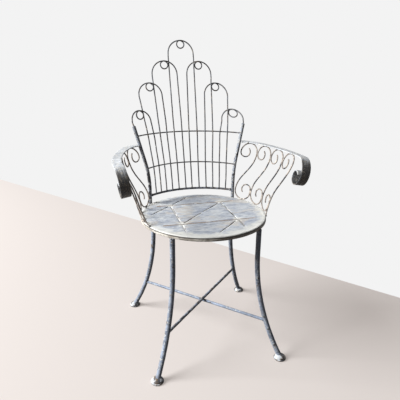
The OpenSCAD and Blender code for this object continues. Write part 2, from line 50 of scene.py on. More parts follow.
seat_low, seat_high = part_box("seat_plate")
AXIS = np.array([(seat_low.x + seat_high.x) / 2, (seat_low.y + seat_high.y) / 2, 0.0])
SEAT_R = 500 * (seat_high.x - seat_low.x)
SEAT_H = 1000 * seat_high.z
LIP_H = 1000 * (seat_high.z - seat_low.z)
ring_low, ring_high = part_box("seat_ring")
RING_R = 500 * (ring_high.x - ring_low.x)
RING_BASE = 1000 * ring_low.z
RING_TOP = 1000 * ring_high.z
POST_TOP = 1000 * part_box("post_right")[1].z
FOOT_H = 1000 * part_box("foot_front_left")[1].z
HOOP_NODES = ("hoop_middle", "hoop_right_1", "hoop_right_2", "hoop_right_3")
HOOP_TOPS = {node: 1000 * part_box(node)[1].z for node in HOOP_NODES}

# ---- Sizes of the bars, wires and sheets, in millimetres and degrees ----

SHEET_T, EDGE_BEND, RING_W = 2.0, 3.5, 14.0
PATTERN_PITCH, PATTERN_BACK, SLOT_W = 182.0, 9.0, 3.0
SLOT_BRIDGE, CROSS_BRIDGE, SLOT_MARGIN, OUTLINE_STEP = 12.0, 22.0, 36.0, 4.0
SEAT_WAVE, SEAT_RIPPLE, SEAT_SAG, SLOT_DIP, FAR_OFF = 1.1, 0.5, 0.75, 0.55, 60.0
LEG_R, LEG_BEND_Z, LEG_BEND_R, LEG_END_Z, LEG_INSET = 8.0, 345.0, 630.0, 7.0, 3.5
LEG_TOP_R = SEAT_R - LEG_INSET
HEADINGS = {"front_left": -132.0, "front_right": -48.0, "back_left": 137.0, "back_right": 43.0}
FOOT_R, FOOT_SIDE_H = 20.0, 5.0
STRETCHER_R, STRETCHER_Z, STRETCHER_SINK = 4.7, 122.0, 1.5
STRETCHERS = {
    "lower": ("back_left", "front_right", STRETCHER_Z),
    "upper": ("back_right", "front_left", STRETCHER_Z + 2 * STRETCHER_R),
}
HANDS, UPWARD = {"left": -1, "right": 1}, np.array([0.0, 0.0, 1.0])
POST_R, POST_ANGLE, POST_BEND_Z, POST_BEND_R = 6.0, 43.3, 490.0, 330.0
POST_TILT, POST_HEADING, POST_DOME = 18.0, 36.0, 0.25
RAIL_Z, RAIL_R, RAIL_BACK, BACK_LEAN = 471.0, 4.0, 201.0, 15.2
BAR_R, BAR_SINK, LOWER_BAR_Z, UPPER_BAR_Z = 2.3, 2.0, 565.0, 675.0
WIRE_R, WIRE_GAP, WIRE_SINK, PART_RUN, FLATTEN_RUN = 2.3, 0.1, 1.0, 45.0, 150.0
RAIL_PITCH, LOWER_PITCH, UPPER_PITCH = 24.0, 25.0, 27.2
PLACE_BULGE, PLACES_OUT, SPRING_CLEAR, BELOW_BAR, ABOVE_BAR = 0.22, 5, 4.0, 45.0, 55.0
HALF_FACET = 22.5
LOOP_R = 13.5
HOOPS = [(0.0, 46.5, 46.5), (64.5, 45.5, 45.5), (124.0, 43.0, 41.5), (173.5, 39.0, 29.0)]
LEG_STEP, POST_STEP, BAR_STEP, HOOP_STEP, SCROLL_STEP = 2.6, 2.2, 2.4, 2.2, 2.0
EARLY, LATE, CHANGE_TURN = 35, 280, 45
STRAP_W, STRAP_T, STRAP_POST_Z, STRAP_FRONT_Z = 28.0, 3.0, 645.0, 643.0
STRAP_SIDE, STRAP_FRONT, STRAP_LEAN, STRAP_ROUND = 273.0, 130.0, 9.0, 45.0
ROLL_R, CURL_R, CURL_END_R, ROLL_TURN, CURL_TURN = 43.0, 23.5, 15.5, -65.0, -320.0
SCROLL_R, TOP_PITCH, FOOT_PITCH = 2.3, 70.5, 70.0
UPPER_CURL, LOWER_CURL, UPPER_TURN, LOWER_TURN, LOWER_RISE = 33.0, 30.0, 0.54, 0.6, 8.0
UPPER_START, LOWER_STOP, CURL_STEPS, SLANT_PULL = 50.0, 220.0, 12, 0.28
SCROLL_INSET, FRONT_FOOT_TURN, CURL_SPLIT = 0.5, 4.0, 120.0


def cosd(a):
    return np.cos(np.radians(a))


def sind(a):
    return np.sin(np.radians(a))


def rows(*columns):
    """Points as rows: the coordinates are broadcast against each other and set side by side."""
    return np.stack(np.broadcast_arrays(*[np.asarray(c, float) for c in columns]), axis=-1)


def polar(radius, angle, *heights):
    """Points at a radius and an angle from the x axis, with their heights if given."""
    return rows(radius * cosd(angle), radius * sind(angle), *heights)


def turns(count):
    """The angles of count points evenly round a circle, from 0."""
    return np.arange(count) * 360 / count


def unit(v):
    """Each row divided by its length."""
    v = np.asarray(v, float)
    return v / np.linalg.norm(v, axis=-1, keepdims=True)


def ease(t):
    """0 below 0, 1 above 1, and three t squared less two t cubed between."""
    t = np.clip(t, 0.0, 1.0)
    return t * t * (3 - 2 * t)


def mirrored(points, hand):
    """The points with x turned to the other side for hand -1."""
    return np.asarray(points, float) * [hand, 1, 1]


# ---- Lines through space ----

def bezier(a, b, c, d, t):
    """The cubic curve from a to d, pulled towards b and c, at each share t."""
    t = np.asarray(t, float)[..., None]
    a, b, c, d = (np.asarray(p, float) for p in (a, b, c, d))
    return (1 - t) ** 3 * a + 3 * (1 - t) ** 2 * t * b + 3 * (1 - t) * t ** 2 * c + t ** 3 * d


def run_length(points):
    """Length along a line of points, from its first point to each of them."""
    steps = np.linalg.norm(np.diff(points, axis=0), axis=1)
    return np.concatenate([[0.0], np.cumsum(steps)])


def through(points, step):
    """A smooth line through the points at equal steps: on each stretch the cubic that
    leaves and arrives along the mean of the directions of the two stretches at a point,
    each weighted with the other's length."""
    points = np.asarray(points, float)
    keep = np.concatenate([[True], np.linalg.norm(np.diff(points, axis=0), axis=1) > 1e-6])
    points = points[keep]
    s = run_length(points)
    h = np.diff(s)[:, None]
    d = np.diff(points, axis=0) / h
    inner = (d[:-1] * h[1:] + d[1:] * h[:-1]) / (h[:-1] + h[1:])
    m = np.concatenate([d[:1], inner, d[-1:]])
    at = np.linspace(0, s[-1], max(int(round(s[-1] / step)), 2) + 1)
    i = np.clip(np.searchsorted(s, at, side="right") - 1, 0, len(s) - 2)
    w = h[i]
    u = (at - s[i])[:, None] / w
    return (
        (2 * u ** 3 - 3 * u ** 2 + 1) * points[i] + (u ** 3 - 2 * u ** 2 + u) * w * m[i]
        + (3 * u ** 2 - 2 * u ** 3) * points[i + 1] + (u ** 3 - u ** 2) * w * m[i + 1]
    )


def directions(path):
    """The unit direction of a line at each point, from the point before to the point after."""
    return unit(np.gradient(path, axis=0))


# ---- The chair's own lines, in millimetres ----

def leg_out(z):
    """Distance of a leg's middle from the seat's axis: straight down to the bend, then
    out along one circle."""
    drop = np.maximum(LEG_BEND_Z - np.asarray(z, float), 0)
    return LEG_TOP_R + LEG_BEND_R - np.sqrt(LEG_BEND_R ** 2 - drop ** 2)


def leg_line(heading):
    """A leg's middle line from the seat's ring down into its foot."""
    z = np.linspace(RING_BASE, LEG_END_Z, 90)
    return polar(leg_out(z), heading, z)


POST_FOOT = polar(SEAT_R + POST_R, POST_ANGLE)
POST_KNEE_Z = POST_BEND_Z + POST_BEND_R * sind(POST_TILT)


def post_run(z):
    """How far a post has leaned out at a height: none, then along a circle, then straight."""
    z = np.asarray(z, float)
    rise = np.clip(z - POST_BEND_Z, 0, POST_KNEE_Z - POST_BEND_Z)
    bent = POST_BEND_R - np.sqrt(POST_BEND_R ** 2 - rise ** 2)
    return bent + np.maximum(z - POST_KNEE_Z, 0) * np.tan(np.radians(POST_TILT))


def post_x(z):
    return POST_FOOT[0] + post_run(z) * cosd(POST_HEADING)


def post_y(z):
    return POST_FOOT[1] + post_run(z) * sind(POST_HEADING)


def post_point(z, hand):
    """The middle of a post at a height: the right one for hand 1, the left one for -1."""
    return mirrored(rows(post_x(z), post_y(z), z), hand)


def post_line(hand):
    """A post's middle line from the seat's lip to its cut top."""
    return post_point(np.linspace(SEAT_H - LIP_H, POST_TOP - POST_DOME * POST_R, 90), hand)


def middle_y(z):
    """Depth of the back's middle: the rail's, and leaning back evenly above it."""
    return RAIL_BACK + (np.asarray(z, float) - RAIL_Z) * np.tan(np.radians(BACK_LEAN))


def back_r(z):
    """Radius of the back's curve, from its depth between the posts."""
    low = np.minimum(z, POST_TOP)
    sag = middle_y(low) - post_y(low)
    return (post_x(low) ** 2 + sag ** 2) / (2 * sag)


def flatness(z):
    """How much of the back's curve is left: all up to the posts' tops, then less and less."""
    return np.clip(1 - (np.asarray(z, float) - POST_TOP) / FLATTEN_RUN, 0, 1)


def back_y(x, z):
    """The back's surface: a circle between the posts that flattens above them."""
    r = back_r(z)
    return middle_y(z) - flatness(z) * (r - np.sqrt(np.maximum(r ** 2 - x ** 2, 0)))


def front_dir(x, z):
    """Level direction square to the back's curve, towards the sitter."""
    turn = np.arcsin(np.clip(x * flatness(z) / back_r(z), -1, 1))
    return rows(-np.sin(turn), -np.cos(turn), 0 * turn)


STAND_OFF = (BAR_R + WIRE_R) / cosd(BACK_LEAN)


def wire_point(x, z, side):
    """A hoop's wire at x and z: it stands off the back's curve, in the rear layer for
    side 1 and in the front one for side -1; the layers part above the upper bar."""
    x, z, side = np.broadcast_arrays(*[np.asarray(v, float) for v in (x, z, side)])
    part = (WIRE_R + WIRE_GAP / 2) * ease((z - UPPER_BAR_Z) / PART_RUN)
    return rows(x, back_y(x, z), z) + front_dir(x, z) * (STAND_OFF - side * part)[..., None]


def curved_bar_line(z, forward, gap):
    """A level bar along the back's curve, ending gap inside each post's middle."""
    r = back_r(z)
    half = np.degrees(np.arcsin((post_x(z) - gap) / r))
    a = np.linspace(-half, half, 120)
    return rows((r - forward) * sind(a), middle_y(z) - r + (r - forward) * cosd(a), z)


def hoop_leg(count, spring_x, spring_z, side):
    """One leg of a hoop from the rail up to where its arch springs. Its distance from the
    chair's middle is count times the pitch at the rail and at both crossbars, and a little
    more half way out."""
    heights = np.array([RAIL_Z, LOWER_BAR_Z, UPPER_BAR_Z, spring_z])
    bulge = PLACE_BULGE * sind(180 / PLACES_OUT * (abs(count) - 0.5))
    count = count + np.sign(count) * bulge
    places = np.array([count * RAIL_PITCH, count * LOWER_PITCH, count * UPPER_PITCH, spring_x])
    parted_z = UPPER_BAR_Z + PART_RUN
    z = np.concatenate([
        [RAIL_Z + RAIL_R - WIRE_SINK],
        [LOWER_BAR_Z - BELOW_BAR, LOWER_BAR_Z, LOWER_BAR_Z + ABOVE_BAR],
        UPPER_BAR_Z + PART_RUN * np.arange(5) / 4,
        parted_z + (spring_z - parted_z) * np.arange(1, 5) / 5,
    ])
    z = z[z < spring_z - SPRING_CLEAR]
    return wire_point(np.interp(z, heights, places), z, side)


def post_top_leg(hand, spring_x, spring_z, side):
    """The outer leg of a third hoop, which comes down onto a post's top."""
    top = post_point(POST_TOP, hand)
    lean = mirrored(polar(sind(POST_TILT), POST_HEADING, cosd(POST_TILT)), hand)
    spring = wire_point(spring_x, spring_z, side)
    reach = np.linalg.norm(spring - top) / 2
    bend = bezier(top + lean * 2, top + lean * reach, spring - [0, 0, reach], spring,
                  np.arange(1, 4) / 4)
    return np.concatenate([[top - lean * 1.5, top + lean * 1.5], bend])


def hoop_line(left_leg, right_leg, x, top_z, left_half, right_half, change):
    """Up the left leg, round the left half of the arch, once round the small loop, and
    over the right half of the arch down the right leg. The loop moves from the rear layer
    to the front one within an eighth of its turn, from the turn named change."""
    def arch(radius, angle, layer):
        return wire_point(x + radius * cosd(angle), top_z - radius * (1 - sind(angle)), layer)

    quarter = np.linspace(0, 90, 15)
    turned = np.linspace(0, 360, 41)
    side = 1 - 2 * ease((turned - change) / CHANGE_TURN)
    return through(np.concatenate([
        left_leg, arch(left_half, 180 - quarter[:-1], 1), arch(LOOP_R, 90 - turned, side),
        arch(right_half, 90 - quarter[1:], -1), right_leg[::-1]]), HOOP_STEP)


def hoop_tops():
    """Height of each hoop's middle line at its top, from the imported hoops, whose wires have
    eight sides."""
    drop = WIRE_R / cosd(HALF_FACET) * cosd(HALF_FACET - BACK_LEAN)
    return {node: top - drop for node, top in HOOP_TOPS.items()}


def hoop_lines():
    """The seven hoops, by the name of the node that each stands for. Both legs of a hoop
    stand on the rail, three places apart, but the third ones' outer legs on the posts."""
    lines, tops = {}, hoop_tops()
    kinds = {"hoop_middle": (1, 0)}
    for side, hand in HANDS.items():
        kinds.update({"hoop_%s_%d" % (side, k): (hand, k) for k in (1, 2, 3)})
    for name, (hand, k) in kinds.items():
        x, inner, outer = HOOPS[k]
        z = tops[name.replace("left", "right")]
        outer_end = hand * (x + outer), z - outer, -hand
        legs = [hoop_leg(hand * (2 * k - 1.5), hand * (x - inner), z - inner, hand),
                hoop_leg(hand * (2 * k + 1.5), *outer_end) if k < 3
                else post_top_leg(hand, *outer_end)]
        change = LATE if hand * k > 0 else EARLY
        lines[name] = hoop_line(*legs[::hand], hand * x, z, *[inner, outer][::hand], change)
    return lines


# ---- Arms: the strap's run and roll, and the panel of scrolls under it ----

STRAP_START = post_point(STRAP_POST_Z, 1) + polar(POST_R, POST_HEADING - STRAP_ROUND, 0)
STRAP_END = np.array([STRAP_SIDE, -STRAP_FRONT, STRAP_FRONT_Z])
STRAP_PULLS = STRAP_START + [58, -8, 0], STRAP_END + [10, 106, 0]


def strap_at(t):
    """The strap's middle line over the arm, at a share t of the way to the roll."""
    return bezier(STRAP_START, *STRAP_PULLS, STRAP_END, t)


STRAP_SHARES = np.linspace(0, 1, 25)
STRAP_LENGTHS = run_length(strap_at(STRAP_SHARES))


def strap_tangent(t):
    """The unit direction of that line, across a short stretch of it."""
    return unit(strap_at(np.minimum(t + 0.01, 1)) - strap_at(np.maximum(t - 0.01, 0)))


def strap_up(t):
    """The strap's own upward direction, straight up at the post and leaned out by a few
    degrees at the roll."""
    outward = unit(np.cross([0, 0, 1], strap_tangent(t)))
    lean = STRAP_LEAN * np.asarray(t, float) ** 2
    return outward * sind(lean)[..., None] + rows(0 * lean, 0 * lean, cosd(lean))


def strap_line():
    """The strap's middle line, from the post along the arm, down round the roll and into
    the curl, with its width direction and how far along each point lies, from 0 to 1
    along the arm and from 1 to 2 along the roll."""
    def spoke(angle):
        return cosd(angle) * along + sind(angle) * up

    t = np.linspace(0, 1, 120)
    along, up = strap_tangent(1.0), strap_up(1.0)
    middle = STRAP_END - up * ROLL_R
    roll = middle + ROLL_R * spoke(np.linspace(90, ROLL_TURN, 56)[1:, None])
    curl_middle = middle + (ROLL_R - CURL_R) * spoke(ROLL_TURN)
    share = np.linspace(0, 1, 60)[1:, None]
    curl_r = CURL_R - (CURL_R - CURL_END_R) * share ** 2
    curl = curl_middle + curl_r * spoke(ROLL_TURN + (CURL_TURN - ROLL_TURN) * share)
    width = np.cross(strap_up(t), strap_tangent(t))
    rolled = len(roll) + len(curl)
    return (
        np.concatenate([strap_at(t), roll, curl]),
        np.concatenate([width, np.repeat(np.cross(up, along)[None], rolled, 0)]),
        np.concatenate([t, 1 + np.arange(1, rolled + 1) / rolled]),
    )


PANEL_R = SEAT_R - SCROLL_INSET
PANEL_Z = SEAT_H - EDGE_BEND + math.sqrt(
    (EDGE_BEND + SCROLL_R) ** 2 - (EDGE_BEND - SCROLL_INSET) ** 2)
PANEL_FIRST = POST_ANGLE - np.degrees((POST_R + SCROLL_R) / PANEL_R)
PANEL_STEP = np.degrees(FOOT_PITCH / PANEL_R)


def panel(u, v):
    """A point of the arm's panel: u counts scrolls from the post, and v runs straight from
    the seat's edge at 0 to the strap's underside at 1."""
    u, v = np.broadcast_arrays(np.asarray(u, float), np.asarray(v, float))
    a = PANEL_FIRST - u * PANEL_STEP
    foot = polar(PANEL_R, a, PANEL_Z)
    t = np.interp(SCROLL_R + 1 + u * TOP_PITCH, STRAP_LENGTHS, STRAP_SHARES)
    head = strap_at(t) - strap_up(t) * (STRAP_T / 2 + SCROLL_R)
    return foot + (head - foot) * v[..., None]


PANEL_H = float(np.linalg.norm(panel(2, 1) - panel(2, 0)))
UPPER_V, LOWER_V = 1 - UPPER_CURL / PANEL_H, LOWER_CURL / PANEL_H
UPPER_HALF = 0.5 - (SCROLL_R + WIRE_GAP / 2) / TOP_PITCH
LOWER_HALF = 0.5 - (SCROLL_R + WIRE_GAP / 2) / FOOT_PITCH


def arc(u, v, ru, rv, start, end):
    """Part of an ellipse on the panel, as pairs of u and v."""
    a = np.linspace(start, end, CURL_STEPS + 1)
    return rows(u + ru * cosd(a), v + rv * sind(a))


def upper_curl(k):
    """Scroll k's upper curl on the panel: a small turn inside, then over the top."""
    mid, height = k + 0.5, UPPER_CURL / PANEL_H
    inner = arc(mid - UPPER_HALF * (1 - UPPER_TURN), UPPER_V, UPPER_HALF * UPPER_TURN,
                height * UPPER_TURN, UPPER_START, -180)
    return np.concatenate([inner, arc(mid, UPPER_V, UPPER_HALF, height, 180, 0)[1:]])


def lower_curl(k):
    """Scroll k's lower curl on the panel: round the bottom, then a small turn inside."""
    mid, height = k + 0.5, LOWER_CURL / PANEL_H
    inner = arc(mid + LOWER_HALF * (1 - LOWER_TURN), LOWER_V + LOWER_RISE / PANEL_H,
                LOWER_HALF * LOWER_TURN, height * LOWER_TURN, 0, LOWER_STOP)
    return np.concatenate([arc(mid, LOWER_V, LOWER_HALF, height, 180, 360), inner])


def scroll_line(k):
    """An S of wire: the upper curl, a slanted stretch and the lower curl. The fourth one has
    no lower curl: it comes down to the seat's edge and turns forward to lie along it."""
    low_u = k + 0.5 - LOWER_HALF if k < 3 else 3 + (SCROLL_R + WIRE_GAP) / FOOT_PITCH
    top, low = np.array([k + 0.5 + UPPER_HALF, UPPER_V]), np.array([low_u, LOWER_V])
    pull = [0, SLANT_PULL]
    slant = bezier(top, top - pull, low + pull, low, np.arange(1, 10) / 10)
    uv = np.concatenate([upper_curl(k), slant, lower_curl(k) if k < 3 else [low]])
    line = panel(uv[:, 0], uv[:, 1])
    if k == 3:
        a = PANEL_FIRST - low_u * PANEL_STEP - FRONT_FOOT_TURN
        end = polar(PANEL_R, a, PANEL_Z)
        reach = np.linalg.norm(end - line[-1]) / 2
        down = line[-1] + unit(panel(low_u, 0) - line[-1]) * reach
        back = end + rows(-sind(a), cosd(a), 0) * reach
        line = np.concatenate([line, bezier(line[-1], down, back, end, np.arange(1, 9) / 8)])
    return through(line, SCROLL_STEP)


# ---- Roughness of hand-worked iron and of old paint ----

RANDOM = np.random.default_rng(20).random(4096)
FIELD_SPREAD, WEAR_GAIN = 0.62, 4


def cloud(points, cell, seed):
    """Smooth random values from 0 to 1: one value at each corner of a cubic lattice of that
    cell, blended across a cell with the ease curve along each direction."""
    p = points / cell + 17.3 * seed
    base = np.floor(p).astype(np.int64)
    f = ease(p - base)
    total = 0
    for corner in range(8):
        step = np.array([corner & 1, corner >> 1 & 1, corner >> 2])
        q = base + step
        key = (q[:, 0] * 73856093 ^ q[:, 1] * 19349663 ^ q[:, 2] * 83492791) & 4095
        weight = np.prod(np.where(step, f, 1 - f), axis=1)
        total = total + RANDOM[key] * weight
    return total


def layered_cloud(points, cell, seed):
    """Four clouds, each at half the cell and half the weight of the one before."""
    weights = 0.5 ** np.arange(4)
    return sum(w * cloud(points, cell * w, seed + n) for n, w in enumerate(weights)) / weights.sum()


def worn(points, cover, seed, cell):
    """Above 0 where the paint is gone and below 0 where it holds: a layered cloud less the
    level that leaves about the share called cover under paint, times the gain."""
    field = layered_cloud(points, cell, seed)
    return (field - np.clip(0.5 + (cover - 0.5) * FIELD_SPREAD, 0.05, 0.95)) * WEAR_GAIN


# ---- Meshes ----

def placed(name, data):
    """An object of the scene made from its data."""
    thing = bpy.data.objects.new(name, data)
    bpy.context.scene.collection.objects.link(thing)
    return thing


def mesh_piece(name, points, quads, tris=None):
    """A smooth-shaded mesh object from points in metres, four-cornered and three-cornered
    faces, each given as rows of point numbers."""
    tris = np.zeros((0, 3), int) if tris is None else np.asarray(tris, int)
    quads = np.asarray(quads, int).reshape(-1, 4)
    data = bpy.data.meshes.new(name)
    data.vertices.add(len(points))
    data.vertices.foreach_set("co", np.ascontiguousarray(points, np.float32).ravel())
    corners = np.concatenate([quads.ravel(), tris.ravel()]).astype(np.int32)
    sizes = np.concatenate([np.full(len(quads), 4), np.full(len(tris), 3)]).astype(np.int32)
    data.loops.add(len(corners))
    data.loops.foreach_set("vertex_index", corners)
    data.polygons.add(len(sizes))
    starts = np.concatenate([[0], np.cumsum(sizes)[:-1]]).astype(np.int32)
    data.polygons.foreach_set("loop_start", starts)
    data.polygons.foreach_set("use_smooth", np.ones(len(sizes), bool))
    data.update(calc_edges=True)
    data.validate()
    return placed(name, data)


def grid_faces(count, around):
    """Faces of a tube of count rings of around points, each ring closed on itself."""
    i = np.arange(count - 1)[:, None] * around
    j = np.arange(around)[None, :]
    k = (j + 1) % around
    return np.stack([i + j, i + k, i + around + k, i + around + j], axis=-1).reshape(-1, 4)


def pole_faces(count, around):
    """Triangles that close such a tube at both ends with the two poles kept after its rings."""
    n, j = count * around, np.arange(around)
    k = (j + 1) % around
    return np.concatenate([
        np.stack([np.full(around, n), k, j], axis=1),
        np.stack([np.full(around, n + 1), n - around + j, n - around + k], axis=1)])


CAP_TURNS = np.array([68, 45, 22])


def held(values):
    """Values along a path, the first and the last repeated for the rings of its caps."""
    caps = len(CAP_TURNS)
    return np.concatenate([values[:1]] * caps + [values] + [values[-1:]] * caps)


def tube_mesh(path, refs, section, scale, dome):
    """A section carried along a path. refs gives the direction of the section's first axis,
    one for all points or one for each, and is squared to the path. Each end is closed by
    three shrinking rings and a pole, which stand out by dome times the section's half
    thickness."""
    t = directions(path)
    first = unit(refs - np.sum(refs * t, axis=1, keepdims=True) * t)
    second = held(np.cross(t, first))[:, None]
    first = held(first)[:, None]
    half = np.abs(section).max(axis=0).min()
    out = dome * half * sind(CAP_TURNS)[:, None]
    shrink = cosd(CAP_TURNS)
    centres = np.concatenate([path[:1] - out * t[:1], path, path[-1:] + out[::-1] * t[-1:]])
    thin = np.concatenate([shrink, np.ones(len(path)), shrink[::-1]])
    narrow = 1 - half * (1 - thin) / section.max()
    scale = held(scale)
    rings = (centres[:, None] + first * section[:, :1] * (narrow * scale)[:, None, None]
             + second * section[:, 1:] * (thin * scale)[:, None, None])
    poles = [path[0] - dome * half * t[0], path[-1] + dome * half * t[-1]]
    count, around = rings.shape[:2]
    points = np.concatenate([rings.reshape(-1, 3), poles])
    return points, grid_faces(count, around), pole_faces(count, around)


def strap_section(width, thick, corner):
    """A flat bar's section: a rectangle with round corners and seven points to a long side."""
    a = np.linspace(0, 90, 4)
    x, y = width / 2 - corner, thick / 2 - corner
    quarter = polar(corner, a)
    parts = []
    for sx, sy, order in ((1, 1, 1), (-1, 1, -1), (-1, -1, 1), (1, -1, -1)):
        parts.append((quarter * [sx, sy] + [sx * x, sy * y])[::order])
        if sx * sy > 0:
            parts.append(rows(np.linspace(sx * x, -sx * x, 9)[1:-1], sy * thick / 2))
    return np.concatenate(parts)


def in_row(points):
    """Millimetres from the seat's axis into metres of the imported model."""
    return np.asarray(points) / 1000 + AXIS


def points_of(piece, normals=False):
    """The piece's points as rows, or their normals."""
    kept = piece.data.vertex_normals if normals else piece.data.vertices
    flat = np.zeros(len(kept) * 3, np.float32)
    kept.foreach_get("vector" if normals else "co", flat)
    return flat.reshape(-1, 3).astype(float)


def store(piece, name, values):
    """Keeps one number a point on the piece, for its finish to read."""
    layer = piece.data.attributes.new(name, "FLOAT", "POINT")
    layer.data.foreach_set("value", np.ascontiguousarray(values, np.float32))


def weather(piece, cover, seed, dents=0.2, dent_cell=0.018, coat=0.12, bias=0.0, cell=0.01):
    """Moves each point along its normal: out and in by dents millimetres with a cloud, and
    in by the coat's thickness where the paint is gone. The wear is kept for the finish."""
    p, n = points_of(piece), points_of(piece, normals=True)
    wear = worn(p, cover, seed, cell) + bias
    move = dents * (layered_cloud(p, dent_cell, seed + 9) - 0.5) * 2 - coat * ease(wear * 5 + 0.5)
    moved = (p + n * move[:, None] / 1000).astype(np.float32)
    piece.data.vertices.foreach_set("co", moved.ravel())
    store(piece, "wear", wear)
    piece.data.update()


def finish_piece(piece, material, slot, *nodes):
    """Gives the piece its finish, hangs it under the root body and hides the imported nodes that it
    stands for; the slot is not used.
    """
    piece.data.materials.append(material)
    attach(piece, "root")
    if nodes:
        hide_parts(*nodes)


BAR_SLOTS = {"bar": "iron_paint", "wire": "wire_paint"}


def round_bar(node, kind, path, refs, radius, around, material, cover, seed, rub=None,
              dome=0.1, swell=0.02, **wearing):
    """A node's bar or wire: round, along a path in millimetres, and a little thicker and
    thinner by turns. Rub, if given, turns its points into an amount added to the wear."""
    waver = 1 + swell * (layered_cloud(in_row(path), 0.03, seed + 5) - 0.5) * 2
    section = polar(radius, turns(around))
    points, quads, tris = tube_mesh(path, refs, section, waver, dome)
    piece = mesh_piece(node + "_" + kind, in_row(points), quads, tris)
    bias = rub(points_of(piece)) if rub else 0.0
    weather(piece, cover, seed, bias=bias, **wearing)
    finish_piece(piece, material, BAR_SLOTS[kind], node)


# ---- Finishes ----

def shade(r, g, b):
    """A colour given by its 0 to 255 values, as the light-linear numbers of a shader."""
    def level(v):
        v = v / 255
        return v / 12.92 if v <= 0.04045 else ((v + 0.055) / 1.055) ** 2.4
    return (level(r), level(g), level(b), 1.0)


class Signal:
    """A number or colour that varies over a surface: a node's output, with arithmetic."""

    def __init__(self, nodes, socket):
        self.nodes, self.socket = nodes, socket

    def _with(self, operation, *values):
        return self.nodes.node("ShaderNodeMath", dict(enumerate(values)), operation=operation)

    def __add__(self, other):
        return self._with("ADD", self, other)

    def __mul__(self, other):
        return self._with("MULTIPLY", self, other)

    __radd__, __rmul__ = __add__, __mul__

    def __sub__(self, other):
        return self._with("SUBTRACT", self, other)

    def __rsub__(self, other):
        return self._with("SUBTRACT", other, self)

    def most(self, other):
        return self._with("MAXIMUM", self, other)

    def rise(self, low, high):
        """0 below low, 1 above high, eased between."""
        inputs = {"Value": self, "From Min": low, "From Max": high}
        return self.nodes.node("ShaderNodeMapRange", inputs, interpolation_type="SMOOTHSTEP")


class Nodes:
    """A tree of shader nodes."""

    def __init__(self, tree):
        self.tree = tree

    def node(self, kind, inputs, output=0, **settings):
        """A new node of that kind with its settings made and its sockets filled; gives back
        the output as a signal."""
        node = self.tree.nodes.new(kind)
        for key, value in settings.items():
            setattr(node, key, value)
        self.fill(node, inputs)
        return Signal(self, node.outputs[output])

    def fill(self, node, inputs):
        """Gives a node's sockets their values or links."""
        for key, value in inputs.items():
            if isinstance(value, Signal):
                self.tree.links.new(value.socket, node.inputs[key])
            else:
                node.inputs[key].default_value = value

    def mix(self, share, one, other, blend="MIX"):
        """Colours mixed from one to the other by a share from 0 to 1."""
        inputs = {0: share, 6: one, 7: other}
        return self.node("ShaderNodeMix", inputs, 2, data_type="RGBA", blend_type=blend)

    def layered(self, base, *layers):
        """The base with colours laid over it in turn, each given with its share."""
        for share, colour in layers:
            base = self.mix(share, base, colour)
        return base

    def ray(self, kind):
        """1 for rays of that kind and 0 for all others."""
        return self.node("ShaderNodeLightPath", {}, "Is " + kind + " Ray")


class Finish(Nodes):
    """A material and the nodes that make its look."""

    def __init__(self, name, specular):
        self.material = bpy.data.materials.new(name)
        self.material.use_nodes = True
        super().__init__(self.material.node_tree)
        self.tree.nodes.clear()
        self.shader = self.tree.nodes.new("ShaderNodeBsdfPrincipled")
        out = self.tree.nodes.new("ShaderNodeOutputMaterial")
        self.fill(out, {"Surface": Signal(self, self.shader.outputs[0])})
        self.feed("Specular IOR Level", specular)
        self.place = self.node("ShaderNodeTexCoord", {}, "Object")

    def feed(self, socket, value):
        """Fills one socket of the material's shader."""
        self.fill(self.shader, {socket: value})

    def noise(self, cell, detail=3.0, rough=0.55, distort=0.0, place=None):
        """Noise from 0 to 1 with features of about that many millimetres."""
        return self.node("ShaderNodeTexNoise", {
            "Vector": place or self.place, "Scale": 1000 / cell, "Detail": detail,
            "Roughness": rough, "Distortion": distort})

    def cells(self, cell):
        """Distance to the nearest of random points that many millimetres apart, as a share
        of it."""
        return self.node("ShaderNodeTexVoronoi", {"Vector": self.place, "Scale": 1000 / cell})

    def moved(self, location=(0, 0, 0), turn=(0, 0, 0), scale=(1, 1, 1)):
        """The piece's places scaled, turned and then moved, in metres and radians."""
        return self.node("ShaderNodeMapping", {
            "Vector": self.place, "Location": location, "Rotation": turn, "Scale": scale})

    def vector(self, operation, *values, output=0):
        return self.node("ShaderNodeVectorMath", dict(enumerate(values)), output,
                         operation=operation)

    def level_length(self, place):
        """Length of a place's level part, its height left out."""
        level = self.vector("MULTIPLY", place, (1, 1, 0))
        return self.vector("LENGTH", level, output="Value")

    def kept(self, name):
        """The number that the piece keeps under that name."""
        return self.node("ShaderNodeAttribute", {}, "Fac", attribute_name=name)

    def bump(self, height, depth, strength):
        """Relief of that many millimetres."""
        inputs = {"Height": height, "Distance": depth / 1000, "Strength": strength}
        self.feed("Normal", self.node("ShaderNodeBump", inputs))


MOTTLE = shade(166, 156, 142)


